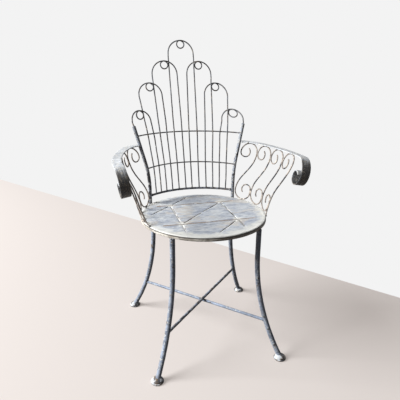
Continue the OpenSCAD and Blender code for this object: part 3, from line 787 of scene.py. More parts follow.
def flaking(name, *colours, rust_share=0.3, old_share=0.3, chips=0.5):
    """Old paint in two tones over dark iron. The colours are those of the iron, its dark
    patches, the rust, both tones and an older coat. The wear kept on the piece, broken up
    by fine noise, says where the paint is gone; small chips go through it elsewhere. Rust
    gathers where paint ends, the older coat shows through in patches, and dirt runs along.
    Where a piece keeps a rubbed share, the paint thins to dark metal, in streaks along it; on the
    arms' rolls that share is both wear and painted shade."""
    iron, deep, rust, paint, paint_2, old_paint = (shade(*c) for c in colours)
    f = Finish(name, 0.3)
    fine = f.noise(1.6, 5.0, 0.6)
    small = f.noise(6.0, 4.0, 0.6)
    middle = f.noise(17.0, 4.0, 0.6, 0.6)
    broad = f.noise(60.0)
    grime = f.noise(9.0, 4.0, 0.65, place=f.moved(scale=(1.0, 1.0, 0.35)))
    lengthwise = f.node("ShaderNodeCombineXYZ", {"X": f.kept("run") * 0.08, "Y": f.kept("across")})
    grain = f.noise(4.0, 4.0, 0.6, place=lengthwise)

    wear = f.kept("wear") + (fine - 0.5) * 0.5 + (small - 0.5) * 0.8
    near_edge = wear.rise(-0.45, 0.0) * (1 - wear.rise(0.0, 0.55))
    chip = 0.34 * chips - f.cells(5.5) + (fine - 0.5) * 0.35
    bare = wear.rise(-0.04, 0.05).most(chip.rise(0.0, 0.03) * small.rise(0.46, 0.54))

    old_from = 0.62 - 0.25 * old_share
    old = (small + middle * 0.6 - 0.3).rise(old_from, old_from + 0.08)
    film = f.layered(paint, (middle.rise(0.4, 0.62), paint_2), (old * 0.85, old_paint),
                     (grime.rise(0.5, 0.8) * 0.25, rust))
    film = f.mix(broad.rise(0.35, 0.75) * 0.35, film, deep, "MULTIPLY")

    # the rubbed share kept on a piece: worn paint, and on the arms' rolls also painted shade
    rubbed = f.kept("rubbed")
    thin = rubbed + ((grain - 0.5) * 1.1 + (middle - 0.5) * 0.5) * rubbed.rise(0.0, 0.3)
    mottle = small.rise(0.48, 0.6) * middle.rise(0.4, 0.54)
    dark = f.layered(deep, (grain.rise(0.42, 0.62) * 0.6, rust), (mottle * 0.6, MOTTLE))

    rusty = (small * 0.5 + middle * 0.5 + near_edge * 0.12).rise(
        0.66 - 0.25 * rust_share, 0.74 - 0.2 * rust_share)
    metal = f.layered(iron, (middle.rise(0.35, 0.7), deep), (rusty * 0.8, rust))
    colour = f.layered(film, (thin.rise(0.08, 0.75) * 0.93, dark), (bare, metal),
                       (near_edge * (1 - bare) * 0.35, rust))
    f.feed("Base Color", colour)
    f.feed("Roughness", 0.55 - bare * 0.13 + (fine - 0.5) * 0.12)
    f.bump((1 - bare) * 0.5 + fine * 0.12 + small * 0.25 - rusty * bare * 0.1, 0.35, 0.8)
    return f.material


def seat_finish():
    """Matt blue-grey paint, cloudy and brushed along the seat, rubbed to cream at the rim
    and at the four crossings, with tan dirt along the level slots. Pale and dark dashes by
    turns along the other slots and on the slots' walls are painted light and painted shade
    for the lit floor and the dark underside seen through the slots, and a dark line under
    the rolled rim is painted shade."""
    f = Finish("blue grey seat paint", 0.35)
    x, y = -AXIS[:2]
    back, mid = PATTERN_BACK / 1000, PATTERN_PITCH / 2000
    brushed = f.moved(scale=(0.3, 1.0, 1.0))
    fine = f.noise(1.8, 5.0, 0.62)
    grain = f.noise(7.0, 5.0, 0.65, 0.4, brushed)
    cloudy = f.noise(38.0, 4.0, 0.6, 0.8)
    streaks = f.noise(30.0, 5.0, 0.62, 1.2, brushed)
    dash = f.noise(30.0, 1.0, 0.5, place=f.moved((0.2, 0.6, 0.0)))
    scratched = f.moved(turn=(0.0, 0.0, 0.1), scale=(0.16, 1.0, 1.0))
    scratch = f.noise(5.0, 5.0, 0.7, 0.3, scratched)
    warm = f.noise(44.0, 4.0, 0.6, 0.5, f.moved((0.31, 0.17, 0.0), scale=(0.45, 1.0, 1.0)))
    out = f.level_length(f.moved((x, y - 0.012, 0.0)))
    folded = f.vector("ABSOLUTE", f.moved((x, y - back, 0.0)))
    spot = f.level_length(f.vector("SUBTRACT", folded, (mid, mid, 0)))
    slot, level_slot = f.kept("slot"), f.kept("level_slot")

    line = 1 - (slot + (grain - 0.5) * 0.008).rise(0.0012, 0.0045)
    level_line = 1 - (level_slot + (grain - 0.5) * 0.005).rise(0.002, 0.0046)
    rubbed = spot + (grain - 0.5) * 0.04 + (cloudy - 0.5) * 0.03
    rim_from = SEAT_R / 1000 * 0.86
    rim = (out + (cloudy - 0.5) * 0.05 + (grain - 0.5) * 0.05).rise(rim_from, rim_from + 0.024)
    # painted light and painted shade: pale and dark dashes beside the slots, for the lit floor and
    # the dark underside seen through them
    pale_dash_painted_light = (1 - slot.rise(0.0016, 0.0034)) * (1 - level_line) * dash.rise(0.5, 0.53)
    dark_dash_painted_shade = (1 - slot.rise(0.0016, 0.0028)) * (1 - level_line) * (1 - dash.rise(0.46, 0.49))
    # the slots' walls: dark as painted shade, white in dashes as painted light for the floor seen
    # through, tan along the level slots as dirt
    wall = f.layered(shade(18, 18, 22), (dash.rise(0.49, 0.51), shade(252, 250, 246)),
                     ((1 - level_slot.rise(0.0013, 0.0021)) * 0.85, shade(206, 174, 150)))
    wear = f.kept("wear") + (fine - 0.5) * 0.6 + (grain - 0.5) * 0.9
    bare = wear.rise(-0.03, 0.04)
    iron = f.mix(warm.rise(0.4, 0.6), shade(96, 96, 102), shade(132, 114, 98))
    height = f.node("ShaderNodeSeparateXYZ", {0: f.place}, "Z") + (grain - 0.5) * 0.0016
    drop = SEAT_H / 1000 - height
    lip = drop.rise(0.0014, 0.0036)
    # painted shade: a dark line just under the rolled rim, where the edge's shadow falls
    crease_painted_shade = lip * (1 - drop.rise(0.0048, 0.0072))
    side = f.layered(shade(214, 204, 190), (cloudy.rise(0.4, 0.6), shade(150, 138, 124)),
                     (grain.rise(0.52, 0.62) * 0.7, shade(92, 86, 82)))
    base = f.layered(
        shade(192, 195, 201),
        (cloudy.rise(0.36, 0.66), shade(216, 216, 216)),
        (streaks.rise(0.48, 0.6) * 0.75, shade(156, 162, 176)),
        (grain.rise(0.52, 0.66) * 0.7, shade(126, 133, 149)),
        (scratch.rise(0.52, 0.62) * 0.65, shade(112, 117, 130)),
        (warm.rise(0.52, 0.62) * 0.55, shade(208, 196, 182)),
        ((1 - grain.rise(0.3, 0.44)) * 0.6, shade(232, 232, 230)),
        (line * warm.rise(0.4, 0.6) * 0.65, shade(172, 148, 128)),
        (level_line * dash.rise(0.34, 0.44) * 0.9, shade(182, 156, 136)),
        ((1 - rubbed.rise(0.004, 0.024)) * 0.8, shade(236, 231, 221)),
        (rim * 0.8, shade(228, 224, 215)),
        (rim * streaks.rise(0.5, 0.62) * 0.5, shade(172, 168, 164)),
        # painted light and painted shade: the dashes by the slots and the slots' walls
        (pale_dash_painted_light * 0.8, shade(244, 241, 234)),
        (dark_dash_painted_shade * 0.9, shade(30, 30, 36)),
        ((1 - slot.rise(0.0013, 0.0021)) * 0.95, wall),
        (bare * 0.7, iron),
        (wear.rise(-0.5, 0.0) * (1 - bare) * 0.2, shade(176, 154, 134)),
        (lip * 0.9, side),
        # painted shade under the rolled rim
        (crease_painted_shade * 0.85, shade(34, 32, 32)))
    f.feed("Base Color", base)
    f.feed("Roughness", 0.5 + (fine - 0.5) * 0.15 + rim * 0.08 - streaks.rise(0.5, 0.7) * 0.06)
    f.bump((1 - bare) * 0.4 + fine * 0.12 + grain * 0.3, 0.3, 0.7)
    return f.material


IRON_PAINT = flaking(
    "flaking grey paint on iron", (84, 86, 92), (50, 51, 55), (112, 94, 76),
    (155, 162, 176), (114, 121, 135), (206, 206, 204))
WIRE_PAINT = flaking(
    "chipped paint on wire", (70, 71, 74), (44, 44, 46), (122, 102, 82),
    (118, 120, 124), (92, 93, 97), (214, 204, 188), old_share=0.15)
STRAP_PAINT = flaking(
    "rubbed paint on the arms with painted roll shade", (72, 74, 78), (30, 31, 35), (96, 86, 74),
    (206, 206, 207), (170, 174, 182), (222, 216, 206), rust_share=0.5, old_share=0.45, chips=0.3)
SCROLL_PAINT = flaking(
    "tan paint on the scrolls", (58, 59, 63), (38, 38, 41), (112, 94, 80),
    (172, 158, 146), (122, 114, 110), (224, 210, 192), rust_share=0.15)
# painted light: a paler paint for the lower stretcher, whose seen side faces the window
PALE_LIT_STRETCHER_PAINT = flaking(
    "blue grey paint on the stretcher", (70, 73, 80), (44, 46, 51), (112, 100, 90),
    (156, 165, 182), (124, 133, 150), (202, 203, 204), rust_share=0.2, old_share=0.25)
POST_PAINT = flaking(
    "worn paint on the posts", (58, 58, 62), (34, 34, 37), (100, 86, 74),
    (156, 159, 166), (108, 113, 124), (218, 213, 204), rust_share=0.35, old_share=0.4)
CREAM_PAINT = flaking(
    "chipped cream paint", (84, 84, 88), (56, 56, 58), (130, 108, 86),
    (206, 207, 209), (176, 182, 192), (228, 222, 211), rust_share=0.5, old_share=0.5)
SEAT_PAINT = seat_finish()


# ---- The seat: one closed sheet with slots cut through it, and the hoop under it ----

def slot_runs():
    """The middle lines of the slots, each as two ends: a square lattice and its diagonals,
    broken at bridges, inside a margin from the rim."""
    half, reach, gap = PATTERN_PITCH / 2, SEAT_R - SLOT_MARGIN, CROSS_BRIDGE / 2

    def chord(distance):
        return math.sqrt(reach ** 2 - distance ** 2)

    runs = []
    for side in (-1, 1):
        y, w = PATTERN_BACK + side * half, SLOT_BRIDGE / 2
        runs += [((-chord(y), y), (-w, y)), ((w, y), (chord(y), y))]
        low, high, x = PATTERN_BACK - half, PATTERN_BACK + half, side * half
        runs += [((x, -chord(half)), (x, low - gap)), ((x, low + gap), (x, high - gap))]
    for shift in (-1, 0, 1):
        lift = shift * PATTERN_PITCH + PATTERN_BACK
        far = chord(abs(lift) / math.sqrt(2)) / math.sqrt(2)
        start, end, crossing = -lift / 2 - far, -lift / 2 + far, -shift * half
        breaks = {-1: [start, crossing - gap], 0: [-half + gap, -gap / 2, gap / 2, half - gap],
                  1: [start, crossing - gap, crossing + gap, end]}[shift]
        for a, b in zip(breaks[::2], breaks[1::2]):
            runs.append(((a, a + lift), (b, b + lift)))
    return np.array(runs)


def distance_to_runs(points, runs):
    """From each point on the level, the distance to the nearest run."""
    a, b = runs[:, 0], runs[:, 1]
    along = b - a
    t = np.einsum("prk,rk->pr", points[:, None] - a, along) / np.sum(along ** 2, axis=1)
    near = a + np.clip(t, 0, 1)[..., None] * along
    return np.linalg.norm(points[:, None] - near, axis=2).min(axis=1)


def slot_outline(a, b, half_width):
    """Points round a slot: two straight sides and two half circles."""
    length = np.linalg.norm(b - a)
    along = (b - a) / length
    across = np.array([-along[1], along[0]])
    side = np.linspace(0, length, max(int(length / OUTLINE_STEP), 2) + 1)[1:-1]
    cap = polar(half_width, 90 - np.linspace(0, 180, 7))
    parts = [cap + [length, 0], rows(side[::-1], -half_width), -cap, rows(side, half_width)]
    flat = np.concatenate(parts)
    return a + flat[:, :1] * along + flat[:, 1:] * across


def seat_sheet():
    """The flat of the seat in triangles: a circle at the rim, two outlines round each slot
    and a lattice of points between; the triangles inside a slot are left out."""
    runs = slot_runs()
    flat_r, around, cell = SEAT_R - EDGE_BEND, 240, 4.6
    slot_rim, slot_clear, edge_clear = 1.6, 3.6, 3.4
    loops = [polar(flat_r, turns(around))]
    for a, b in runs:
        loops += [slot_outline(a, b, SLOT_W / 2 + out) for out in (0, slot_rim)]
    count = int(2 * flat_r / cell) + 2
    i, j = np.meshgrid(np.arange(-count, count), np.arange(-count, count))
    lattice = rows((i + 0.5 * (j & 1)) * cell, j * cell * math.sqrt(0.75)).reshape(-1, 2)
    lattice = lattice[np.hypot(*lattice.T) < flat_r - edge_clear]
    lattice = lattice[distance_to_runs(lattice, runs) > SLOT_W / 2 + slot_clear]
    starts = np.cumsum([0] + [len(p) for p in loops])
    edges = np.concatenate([
        np.stack([s + np.arange(len(p)), s + (np.arange(len(p)) + 1) % len(p)], axis=1)
        for s, p in zip(starts, loops)])
    flat = np.concatenate(loops + [lattice])
    made = delaunay_2d_cdt([Vector(p) for p in flat], edges.tolist(), [], 0, 1e-5)
    points, faces = np.array([tuple(v) for v in made[0]]), np.array(made[2])
    middles = points[faces].mean(axis=1)
    inside = (distance_to_runs(middles, runs) > SLOT_W / 2) & (np.hypot(*middles.T) < flat_r)
    faces = faces[inside]
    used, flipped = np.unique(faces, return_inverse=True)
    points, faces = points[used], flipped.reshape(-1, 3)
    first, second = (points[faces[:, n]] - points[faces[:, 0]] for n in (1, 2))
    turned = first[:, 0] * second[:, 1] - first[:, 1] * second[:, 0] < 0
    faces[turned] = faces[turned][:, ::-1]
    return points, faces, distance_to_runs(points, runs)


def open_edges(faces):
    """Edges that only one triangle has, in that triangle's order."""
    edges = np.concatenate([faces[:, [0, 1]], faces[:, [1, 2]], faces[:, [2, 0]]])
    key = edges.min(axis=1) * (faces.max() + 1) + edges.max(axis=1)
    _, first, times = np.unique(key, return_index=True, return_counts=True)
    return edges[first[times == 1]]


def make_seat():
    """Top and underside of the sheet, the walls of its slots, and the rim: a bend down to
    the lip and back up inside it. The sheet waves by a few tenths of a millimetre and dips
    at the slots' edges."""
    flat, faces, slot = seat_sheet()
    count = len(flat)
    plan = rows(flat[:, 0], flat[:, 1], 0)
    wave = SEAT_WAVE * (cloud(plan / 1000, 0.075, 3) - 0.5)
    wave = wave + SEAT_RIPPLE * (cloud(plan / 1000, 0.03, 4) - 0.5)
    bend_r, bend_z = SEAT_R - EDGE_BEND, SEAT_H - EDGE_BEND
    inner = ease((bend_r - np.hypot(*flat.T)) / 12)
    press = SLOT_DIP * (1 - ease((slot - SLOT_W / 2) / 2.6))
    top = SEAT_H + (wave - SEAT_SAG) * inner - press
    walls = open_edges(faces)
    on_rim = np.hypot(*flat[walls].transpose(2, 0, 1)).min(axis=1) > bend_r - 0.05
    rim, walls = walls[on_rim], walls[~on_rim]
    order = np.argsort(np.arctan2(flat[rim[:, 0], 1], flat[rim[:, 0], 0]))
    ring = rim[order, 0]
    angle = np.degrees(np.arctan2(flat[ring, 1], flat[ring, 0]))
    lip_r, lip_z = SEAT_R - SHEET_T, SEAT_H - LIP_H
    profile = np.concatenate([
        [bend_r, bend_z] + polar(EDGE_BEND, np.linspace(90, 0, 6)[1:]),
        rows(SEAT_R - np.array([0.5, 0.7, 0.1, 0, 0]),
             bend_z - LIP_H * np.array([0.07, 0.16, 0.27, 0.42, 0.6])),
        rows(SEAT_R - np.array([0.3, 1.0, 1.7]), lip_z + np.array([0.2, 0.0, 0.2])),
        rows(lip_r - 0.3, SEAT_H - LIP_H * np.array([0.9, 0.6])),
        [(lip_r, bend_z), (bend_r, bend_z) + polar(EDGE_BEND - SHEET_T, 45)],
    ])
    waver = 0.35 * (cloud(polar(0.2, angle, 0), 0.02, 8) - 0.5)
    lathe = np.concatenate([polar(r, angle, z + waver * min(1, (SEAT_H - z) / 3))
                            for r, z in profile])
    upper = plan + rows(0, 0, top)
    points = np.concatenate([upper, upper - [0, 0, SHEET_T], lathe])
    m = len(ring)
    levels = np.concatenate([ring[None], 2 * count + np.arange(len(profile) * m).reshape(-1, m),
                             ring[None] + count])
    following = np.roll(levels, -1, axis=1)
    band = np.stack([levels[:-1], levels[1:], following[1:], following[:-1]], axis=-1)
    band = band.reshape(-1, 4)
    wall = np.stack([walls[:, 1], walls[:, 0], walls[:, 0] + count, walls[:, 1] + count], axis=1)
    seat = mesh_piece("seat", in_row(points), np.concatenate([band, wall]),
                      np.concatenate([faces, faces[:, ::-1] + count]))
    runs = slot_runs()
    level = distance_to_runs(flat, runs[runs[:, 0, 1] == runs[:, 1, 1]])
    far = np.full(len(lathe), FAR_OFF)
    store(seat, "slot", np.concatenate([slot, slot, far]) / 1000)
    store(seat, "level_slot", np.concatenate([level, level, far]) / 1000)
    weather(seat, 0.99, 31, dents=0.12, dent_cell=0.03, cell=0.012)
    finish_piece(seat, SEAT_PAINT, "seat_paint", "seat_plate")


def lathe_piece(name, profile, around, material, slot, node, cover, seed, centre=(0.0, 0.0),
                dents=0.2, wear_and_contact_shade_below=-10.0):
    """A closed profile of radius and height turned once round an upright axis. A profile
    that starts and ends on the axis is closed with poles. The paint is worn more below the
    height given in millimetres, to dark bare iron that on the feet is also painted contact shade."""
    profile = np.asarray(profile, float)
    poles = profile[0, 0] < 1e-6
    r, z = (profile[1:-1] if poles else profile).T[:, :, None]
    points = (polar(r, turns(around), z) + [*centre, 0]).reshape(-1, 3)
    if poles:
        quads, tris = grid_faces(len(r), around), pole_faces(len(r), around)
        points = np.concatenate([points, rows(*centre, profile[[0, -1], 1])])
    else:
        quads, tris = grid_faces(len(r) + 1, around) % len(points), None
    piece = mesh_piece(name, in_row(points), quads, tris)
    bias = 0.7 * ease((wear_and_contact_shade_below - 1000 * points_of(piece)[:, 2]) / 2.5 + 0.5)
    weather(piece, cover, seed, dents=dents, bias=bias)
    finish_piece(piece, material, slot, node)


def rounded_corners(corners, radius):
    """A closed outline with each corner cut by a short quadratic curve pulled towards it,
    from and to a radius away from it."""
    corners = np.asarray(corners, float)
    before = unit(np.roll(corners, 1, axis=0) - corners)
    after = unit(np.roll(corners, -1, axis=0) - corners)
    t = np.linspace(0, 1, 5)[:, None, None]
    a, b = corners + before * radius, corners + after * radius
    curve = (1 - t) ** 2 * a + 2 * (1 - t) * t * corners + t ** 2 * b
    return curve.transpose(1, 0, 2).reshape(-1, 2)


def make_seat_hoop():
    """The flat hoop of iron under the sheet, with worn edges."""
    inside, worn_edge, top = RING_R - RING_W, 1.2, RING_TOP - 0.3
    outline = rounded_corners([
        (inside, RING_BASE), (RING_R, RING_BASE), (RING_R, RING_TOP - worn_edge),
        (RING_R - worn_edge, top), (inside, top)], 0.6)
    lathe_piece("seat_hoop", outline, 220, IRON_PAINT, "iron_paint", "seat_ring", cover=0.5,
                seed=41)


# ---- Legs, feet, stretchers ----

def make_legs():
    for name, heading in HEADINGS.items():
        line = through(leg_line(heading), LEG_STEP)
        round_bar("leg_" + name, "bar", line, polar(1, heading + 90, 0), LEG_R, around=32,
                  material=IRON_PAINT, cover=0.84, seed=50 + len(name), dents=0.28)


def make_feet():
    """Domed buttons: a rolled rim, a groove above it, then a flattened dome whose profile is
    part of a circle, all a little pressed about."""
    rise, roll_r = FOOT_H - FOOT_SIDE_H, FOOT_SIDE_H / 2
    dome_r = (FOOT_R ** 2 + rise ** 2) / (2 * rise)
    limit = math.degrees(math.asin(FOOT_R / dome_r))
    profile = np.concatenate([
        [(0, 0.2), (9, 0.2)],
        [FOOT_R - roll_r, roll_r + 0.1] + polar(roll_r, np.linspace(-90, 90, 9)),
        [(FOOT_R - 3.4, FOOT_SIDE_H - 0.3), (FOOT_R - 4.0, FOOT_SIDE_H + 0.9)],
        [0, FOOT_H - dome_r] + polar(dome_r, 90 - np.linspace(limit * 0.8, 0, 13))])
    for name, heading in HEADINGS.items():
        # the feet's bottom edge worn to dark iron: scuffing, and painted shade for the contact
        # shadow on the floor
        lathe_piece("foot_" + name + "_button", profile, 56, CREAM_PAINT, "cream_paint",
                    "foot_" + name, cover=0.56, seed=60 + len(name), dents=0.6,
                    centre=polar(leg_out(LEG_END_Z), heading), wear_and_contact_shade_below=FOOT_SIDE_H * 0.8)


def stretcher_line(name):
    """Straight between two legs, each end just inside the leg's surface."""
    start, end, z = STRETCHERS[name]
    a, b = (polar(leg_out(z), HEADINGS[leg], z) for leg in (start, end))
    inset = unit(b - a) * (LEG_R - STRETCHER_SINK)
    return a + inset + (b - a - 2 * inset) * np.linspace(0, 1, 120)[:, None]


def make_stretchers():
    # painted light and painted shade: the lower stretcher gets paler, fuller paint and the upper
    # one half bare dark iron, in place of the window light on one and not the other
    for name, cover, material in (("lower", 0.9, PALE_LIT_STRETCHER_PAINT), ("upper", 0.5, IRON_PAINT)):
        round_bar("stretcher_" + name, "bar", stretcher_line(name), UPWARD, STRETCHER_R,
                  around=20, material=material, cover=cover, seed=70)


# ---- Posts, rail, crossbars and hoops ----

CURVED_BARS = {
    "bottom_rail": (RAIL_Z, RAIL_R, STAND_OFF), "lower_crossbar": (LOWER_BAR_Z, BAR_R, 0.0),
    "upper_crossbar": (UPPER_BAR_Z, BAR_R, 0.0),
}


def post_rub(points):
    """More wear below the top hand's breadth of the posts than above it."""
    return 0.5 * ease((POST_TOP - 50 - 1000 * points[:, 2]) / 80)


def make_posts():
    for side, hand in HANDS.items():
        line = through(post_line(hand), POST_STEP)
        round_bar("post_" + side, "bar", line, [0.0, 1.0, 0.0], POST_R, around=28,
                  material=POST_PAINT, cover=0.84, seed=80 + hand, rub=post_rub,
                  dome=POST_DOME, dents=0.25)


def make_curved_bars():
    for node, (z, r, forward) in CURVED_BARS.items():
        line = through(curved_bar_line(z, forward, POST_R - BAR_SINK), BAR_STEP)
        material, cover = (IRON_PAINT, 0.4) if node == "bottom_rail" else (WIRE_PAINT, 0.5)
        round_bar(node, "bar", line, UPWARD, r, around=16, material=material, cover=cover,
                  seed=90)


def make_hoops():
    for n, (node, line) in enumerate(sorted(hoop_lines().items())):
        refs = -front_dir(line[:, 0], line[:, 2])
        round_bar(node, "wire", line, refs, WIRE_R, around=12, material=WIRE_PAINT, cover=0.5,
                  seed=100 + n, swell=0.05, dents=0.15, coat=0.1)


# ---- Arms ----

def make_straps():
    section = strap_section(STRAP_W, STRAP_T, 1.1)
    around = len(section)

    def at_points(values):
        return np.concatenate([np.repeat(values, around), values[[0, -1]]])

    for side, hand in HANDS.items():
        line, width, share = strap_line()
        line, width = mirrored(line, hand), mirrored(width, hand)
        edge = 1 + 0.024 * (cloud(in_row(line), 0.03, 7 + hand) - 0.5)
        points, quads, tris = tube_mesh(line, width, section, edge, 0.4)
        strap = mesh_piece("arm_strap_" + side + "_sheet", in_row(points), quads, tris)
        along, run = at_points(held(share)), at_points(run_length(points_of(strap)[:-2:around]))
        across = np.concatenate([np.tile(section[:, 0], len(points) // around), [0.0, 0.0]])
        # a metre more on one side and a metre less on the other, so that their grain differs
        store(strap, "run", run + hand)
        store(strap, "across", across / 1000)
        # wear and painted shade: the rubbed share darkens the roll, which turns away from the
        # window, to dark iron, and less in the curl
        store(strap, "rubbed",
              ease((along - 0.93) / 0.4) * (1 - 0.8 * ease((along - 1.5) / 0.25)))
        weather(strap, 0.86, 110 + hand, dents=0.22, cell=0.008)
        finish_piece(strap, STRAP_PAINT, "strap_paint", "arm_strap_" + side)


def straight_rub(points):
    """More wear half way up the arm panels, where the scrolls run straight, than at the
    curls."""
    middle, reach = (SEAT_H + STRAP_FRONT_Z) / 2, (STRAP_FRONT_Z - SEAT_H) / 2
    return 0.75 * (1 - ease((np.abs(1000 * points[:, 2] - middle) / reach - 0.25) / 0.4))


def make_scrolls():
    for side, hand in HANDS.items():
        for k in range(4):
            line = mirrored(scroll_line(k), hand)
            round_bar("scroll_%s_%d" % (side, k + 1), "wire", line,
                      rows(line[:, 0], line[:, 1], -60.0), SCROLL_R, around=12,
                      material=SCROLL_PAINT, cover=0.74, seed=120 + k + 5 * hand,
                      rub=straight_rub, dome=0.6, swell=0.05, dents=0.15, coat=0.1)


# ---- Weld beads ----

def lumps(name, beads, seed):
    """Small uneven blobs in one mesh, from their places and sizes: a ball of rings, each
    stretched to its sizes along x, y and z and pushed in and out by a cloud."""
    around, levels = 14, 9
    places, sizes = (np.array(part, float) for part in zip(*beads))
    lat = np.linspace(-90, 90, levels + 2)[1:-1, None]
    ball = polar(cosd(lat), turns(around), sind(lat)).reshape(-1, 3)
    ball = np.concatenate([ball, [[0, 0, -1], [0, 0, 1]]])
    middles = np.repeat(places, len(ball), axis=0)
    out = (ball * sizes[:, None]).reshape(-1, 3)
    push = 0.75 + 0.5 * cloud(in_row(middles + out), 0.0035, seed)
    step = (np.arange(len(places)) * len(ball))[:, None, None]
    piece = mesh_piece(name, in_row(middles + out * push[:, None]),
                       (grid_faces(levels, around) + step).reshape(-1, 4),
                       (pole_faces(levels, around) + step).reshape(-1, 3))
    weather(piece, 0.35, seed, dents=0.05, coat=0.03)
    finish_piece(piece, WIRE_PAINT, "iron_paint")


def frame_beads():
    """Beads at the legs' tops, both ends of the stretchers and their crossing, the posts at
    the seat, the ends of rail, crossbars and straps, the posts' tops, and the wires on the
    rail and the crossbars."""
    for heading in HEADINGS.values():
        for turn in (-75, 0, 75, 150, 215):
            top = polar(LEG_TOP_R, heading, RING_BASE - 0.6)
            yield top + polar(LEG_R - 1.8, heading + turn, 0), (3.0, 3.0, 2.0)
    for name in STRETCHERS:
        line = stretcher_line(name)
        for p in (line[0], line[-1]):
            toward = unit((line[len(line) // 2] - p) * [1, 1, 0])
            yield p + toward * 2.4 + [0, 0, 2.2], (4.4, 4.4, 3.4)
            yield p + toward * 2.2 - [0, 0, 2.4], (4.2, 4.2, 3.0)
    line = stretcher_line("lower")
    middle = line[len(line) // 2]
    yield middle + [4.4, -1.0, 4.6], (4.6, 3.4, 3.2)
    yield middle + [-4.0, 1.2, 4.2], (3.6, 3.0, 2.6)
    for hand in HANDS.values():
        foot = post_point(SEAT_H, hand)
        inward = unit(foot * [-1, -1, 0]) * POST_R * 0.93
        for drop in (1.0, 5.0, 8.0):
            yield foot + inward - [0, 0, drop], (3.2, 3.2, 2.4)
        for z, r, forward in CURVED_BARS.values():
            end = mirrored(curved_bar_line(z, forward, POST_R)[-1], hand)
            yield end + [0, 0, r * 0.4], (r * 0.95, r * 0.95, r * 0.85)
            yield end - [0, 0, r * 0.5], (r * 0.9, r * 0.9, r * 0.75)
        for up in (-1.6, 1.6):
            yield mirrored(STRAP_START, hand) + [0, 0, up], (3.4, 3.4, 1.6)
        yield post_point(POST_TOP, hand) + [0, 0, 0.4], (3.2, 3.2, 1.8)
    for line in hoop_lines().values():
        for z in (LOWER_BAR_Z, UPPER_BAR_Z):
            above = line[:, 2] - z
            for i in np.nonzero(above[1:] * above[:-1] <= 0)[0]:
                x, y, _ = line[i]
                yield rows(x, y, z) - front_dir(x, z) * 2.2 + [1.6, 0, 1.2], (1.9, 1.7, 1.5)
        for x, y, z in line[[0, -1]]:
            if z < RAIL_Z + 20:
                yield (x + 0.6, y, RAIL_Z + RAIL_R - 0.3), (2.9, 2.9, 1.5)


def arm_beads():
    """Beads where the scrolls touch the strap, the seat's edge and each other."""
    for hand in HANDS.values():
        lines = [mirrored(scroll_line(k), hand) for k in range(4)]
        for k, line in enumerate(lines):
            z = line[:, 2]
            yield line[np.argmax(z)] + [0, 0, 1.6], (3.0, 3.0, 1.3)
            low = line[np.argmin(z)] if k < 3 else line[-1]
            yield low - [0, 0, 1.7], (3.2, 3.2, 1.4)
            if k:
                other = lines[k - 1]
                gaps = np.linalg.norm(line[:, None] - other, axis=2)
                for part in (z > SEAT_H + CURL_SPLIT, z <= SEAT_H + CURL_SPLIT):
                    nearest = np.argmin(np.where(part[:, None], gaps, np.inf))
                    i, j = np.unravel_index(nearest, gaps.shape)
                    yield (line[i] + other[j]) / 2, (1.8, 1.8, 4.2)


make_seat()
make_seat_hoop()
make_legs()
make_feet()
make_stretchers()
make_posts()
make_curved_bars()
make_hoops()
make_straps()
make_scrolls()
lumps("frame_welds", frame_beads(), 7)
lumps("arm_welds", arm_beads(), 8)

# ---- Floor, light and camera ----

BACKDROP, AMBIENT = shade(243, 243, 243), (0.046, 0.048, 0.053, 1)
WINDOW_PLACE, WINDOW_SIZE, WINDOW_POWER = (-5.4, 0.5, 3.55), (3.4, 3.2), 1010.0
WINDOW_COLOUR, WINDOW_AIM = (0.93, 0.97, 1.0), (0, 0, 0.45)
CAMERA_FROM_SEAT, LENS = (-0.3353, -1.16869, 0.88342), 35.222
CAMERA_YAW, CAMERA_PITCH, CAMERA_ROLL = 15.4746, 18.059, 0.4933


def seen_directly(nodes):
    """1 for what the camera sees, straight or in a glossy or clear surface, and 0 for the
    light that falls on the object."""
    return nodes.ray("Camera").most(nodes.ray("Glossy")).most(nodes.ray("Transmission"))


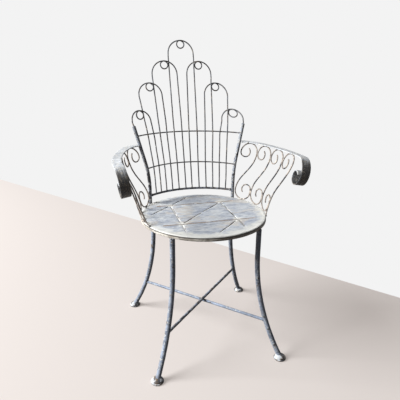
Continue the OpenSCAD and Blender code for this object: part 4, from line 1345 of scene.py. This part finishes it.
def stage_material(name, colour, dim, glow):
    """A plain surface that shows its colour to the camera and in gloss, and throws back
    less light than that on the object. Part of what the camera sees is even light of the
    same colour, so that the shadows on it stay faint."""
    material = bpy.data.materials.new(name)
    material.use_nodes = True
    nodes = Nodes(material.node_tree)
    made = nodes.tree.nodes
    shader = made["Principled BSDF"]
    nodes.fill(shader, {"Roughness": 1.0, "Specular IOR Level": 0.0,
                        "Base Color": nodes.mix(seen_directly(nodes), dim, colour)})
    even = nodes.node("ShaderNodeEmission", {"Color": colour})
    lit = Signal(nodes, shader.outputs[0])
    blend = nodes.node("ShaderNodeMixShader", {0: nodes.ray("Camera") * glow, 1: lit, 2: even})
    nodes.fill(made["Material Output"], {"Surface": blend})
    return material


def make_floor():
    """A pale floor that ends at the foot of the wall behind."""
    corners = np.array([[-5.6, 7.86, 0], [-5.6, -6.0, 0], [5.6, -6.0, 0], [5.6, -5.916, 0]])
    floor = mesh_piece("floor", corners, [[0, 1, 2, 3]])
    floor.data.materials.append(stage_material(
        "pale floor", shade(222, 212, 206), shade(62, 59, 56), 0.5))


def make_light():
    """A wide soft window high on the left and a little in front, and a dim room."""
    lamp = bpy.data.lights.new("window", "AREA")
    lamp.shape = "RECTANGLE"
    lamp.size, lamp.size_y = WINDOW_SIZE
    lamp.energy, lamp.color = WINDOW_POWER, WINDOW_COLOUR
    window = placed("window", lamp)
    window.location = WINDOW_PLACE
    towards = Vector(WINDOW_AIM) - window.location
    window.rotation_euler = towards.to_track_quat("-Z", "Y").to_euler()
    world = bpy.data.worlds.new("room")
    world.use_nodes = True
    bpy.context.scene.world = world
    nodes = Nodes(world.node_tree)
    nodes.fill(nodes.tree.nodes["Background"], {
        "Color": nodes.mix(seen_directly(nodes), AMBIENT, BACKDROP)})


def make_camera():
    """Standing in front and a little to the left, looking down at the seat."""
    yaw, pitch, roll = (math.radians(a) for a in (CAMERA_YAW, CAMERA_PITCH, CAMERA_ROLL))
    look = Vector((math.sin(yaw) * math.cos(pitch), math.cos(yaw) * math.cos(pitch),
                   -math.sin(pitch)))
    level = look.cross(Vector((0, 0, 1))).normalized()
    above = level.cross(look)
    right = math.cos(roll) * level + math.sin(roll) * above
    up = math.cos(roll) * above - math.sin(roll) * level
    data = bpy.data.cameras.new("camera")
    data.lens, data.sensor_width = LENS, 36.0
    camera = placed("camera", data)
    turn = Matrix((right, up, -look)).transposed().to_4x4()
    camera.matrix_world = Matrix.Translation(Vector(AXIS) + Vector(CAMERA_FROM_SEAT)) @ turn
    bpy.context.scene.camera = camera


make_floor()
make_light()
make_camera()
bpy.context.scene.view_settings.view_transform = "Standard"
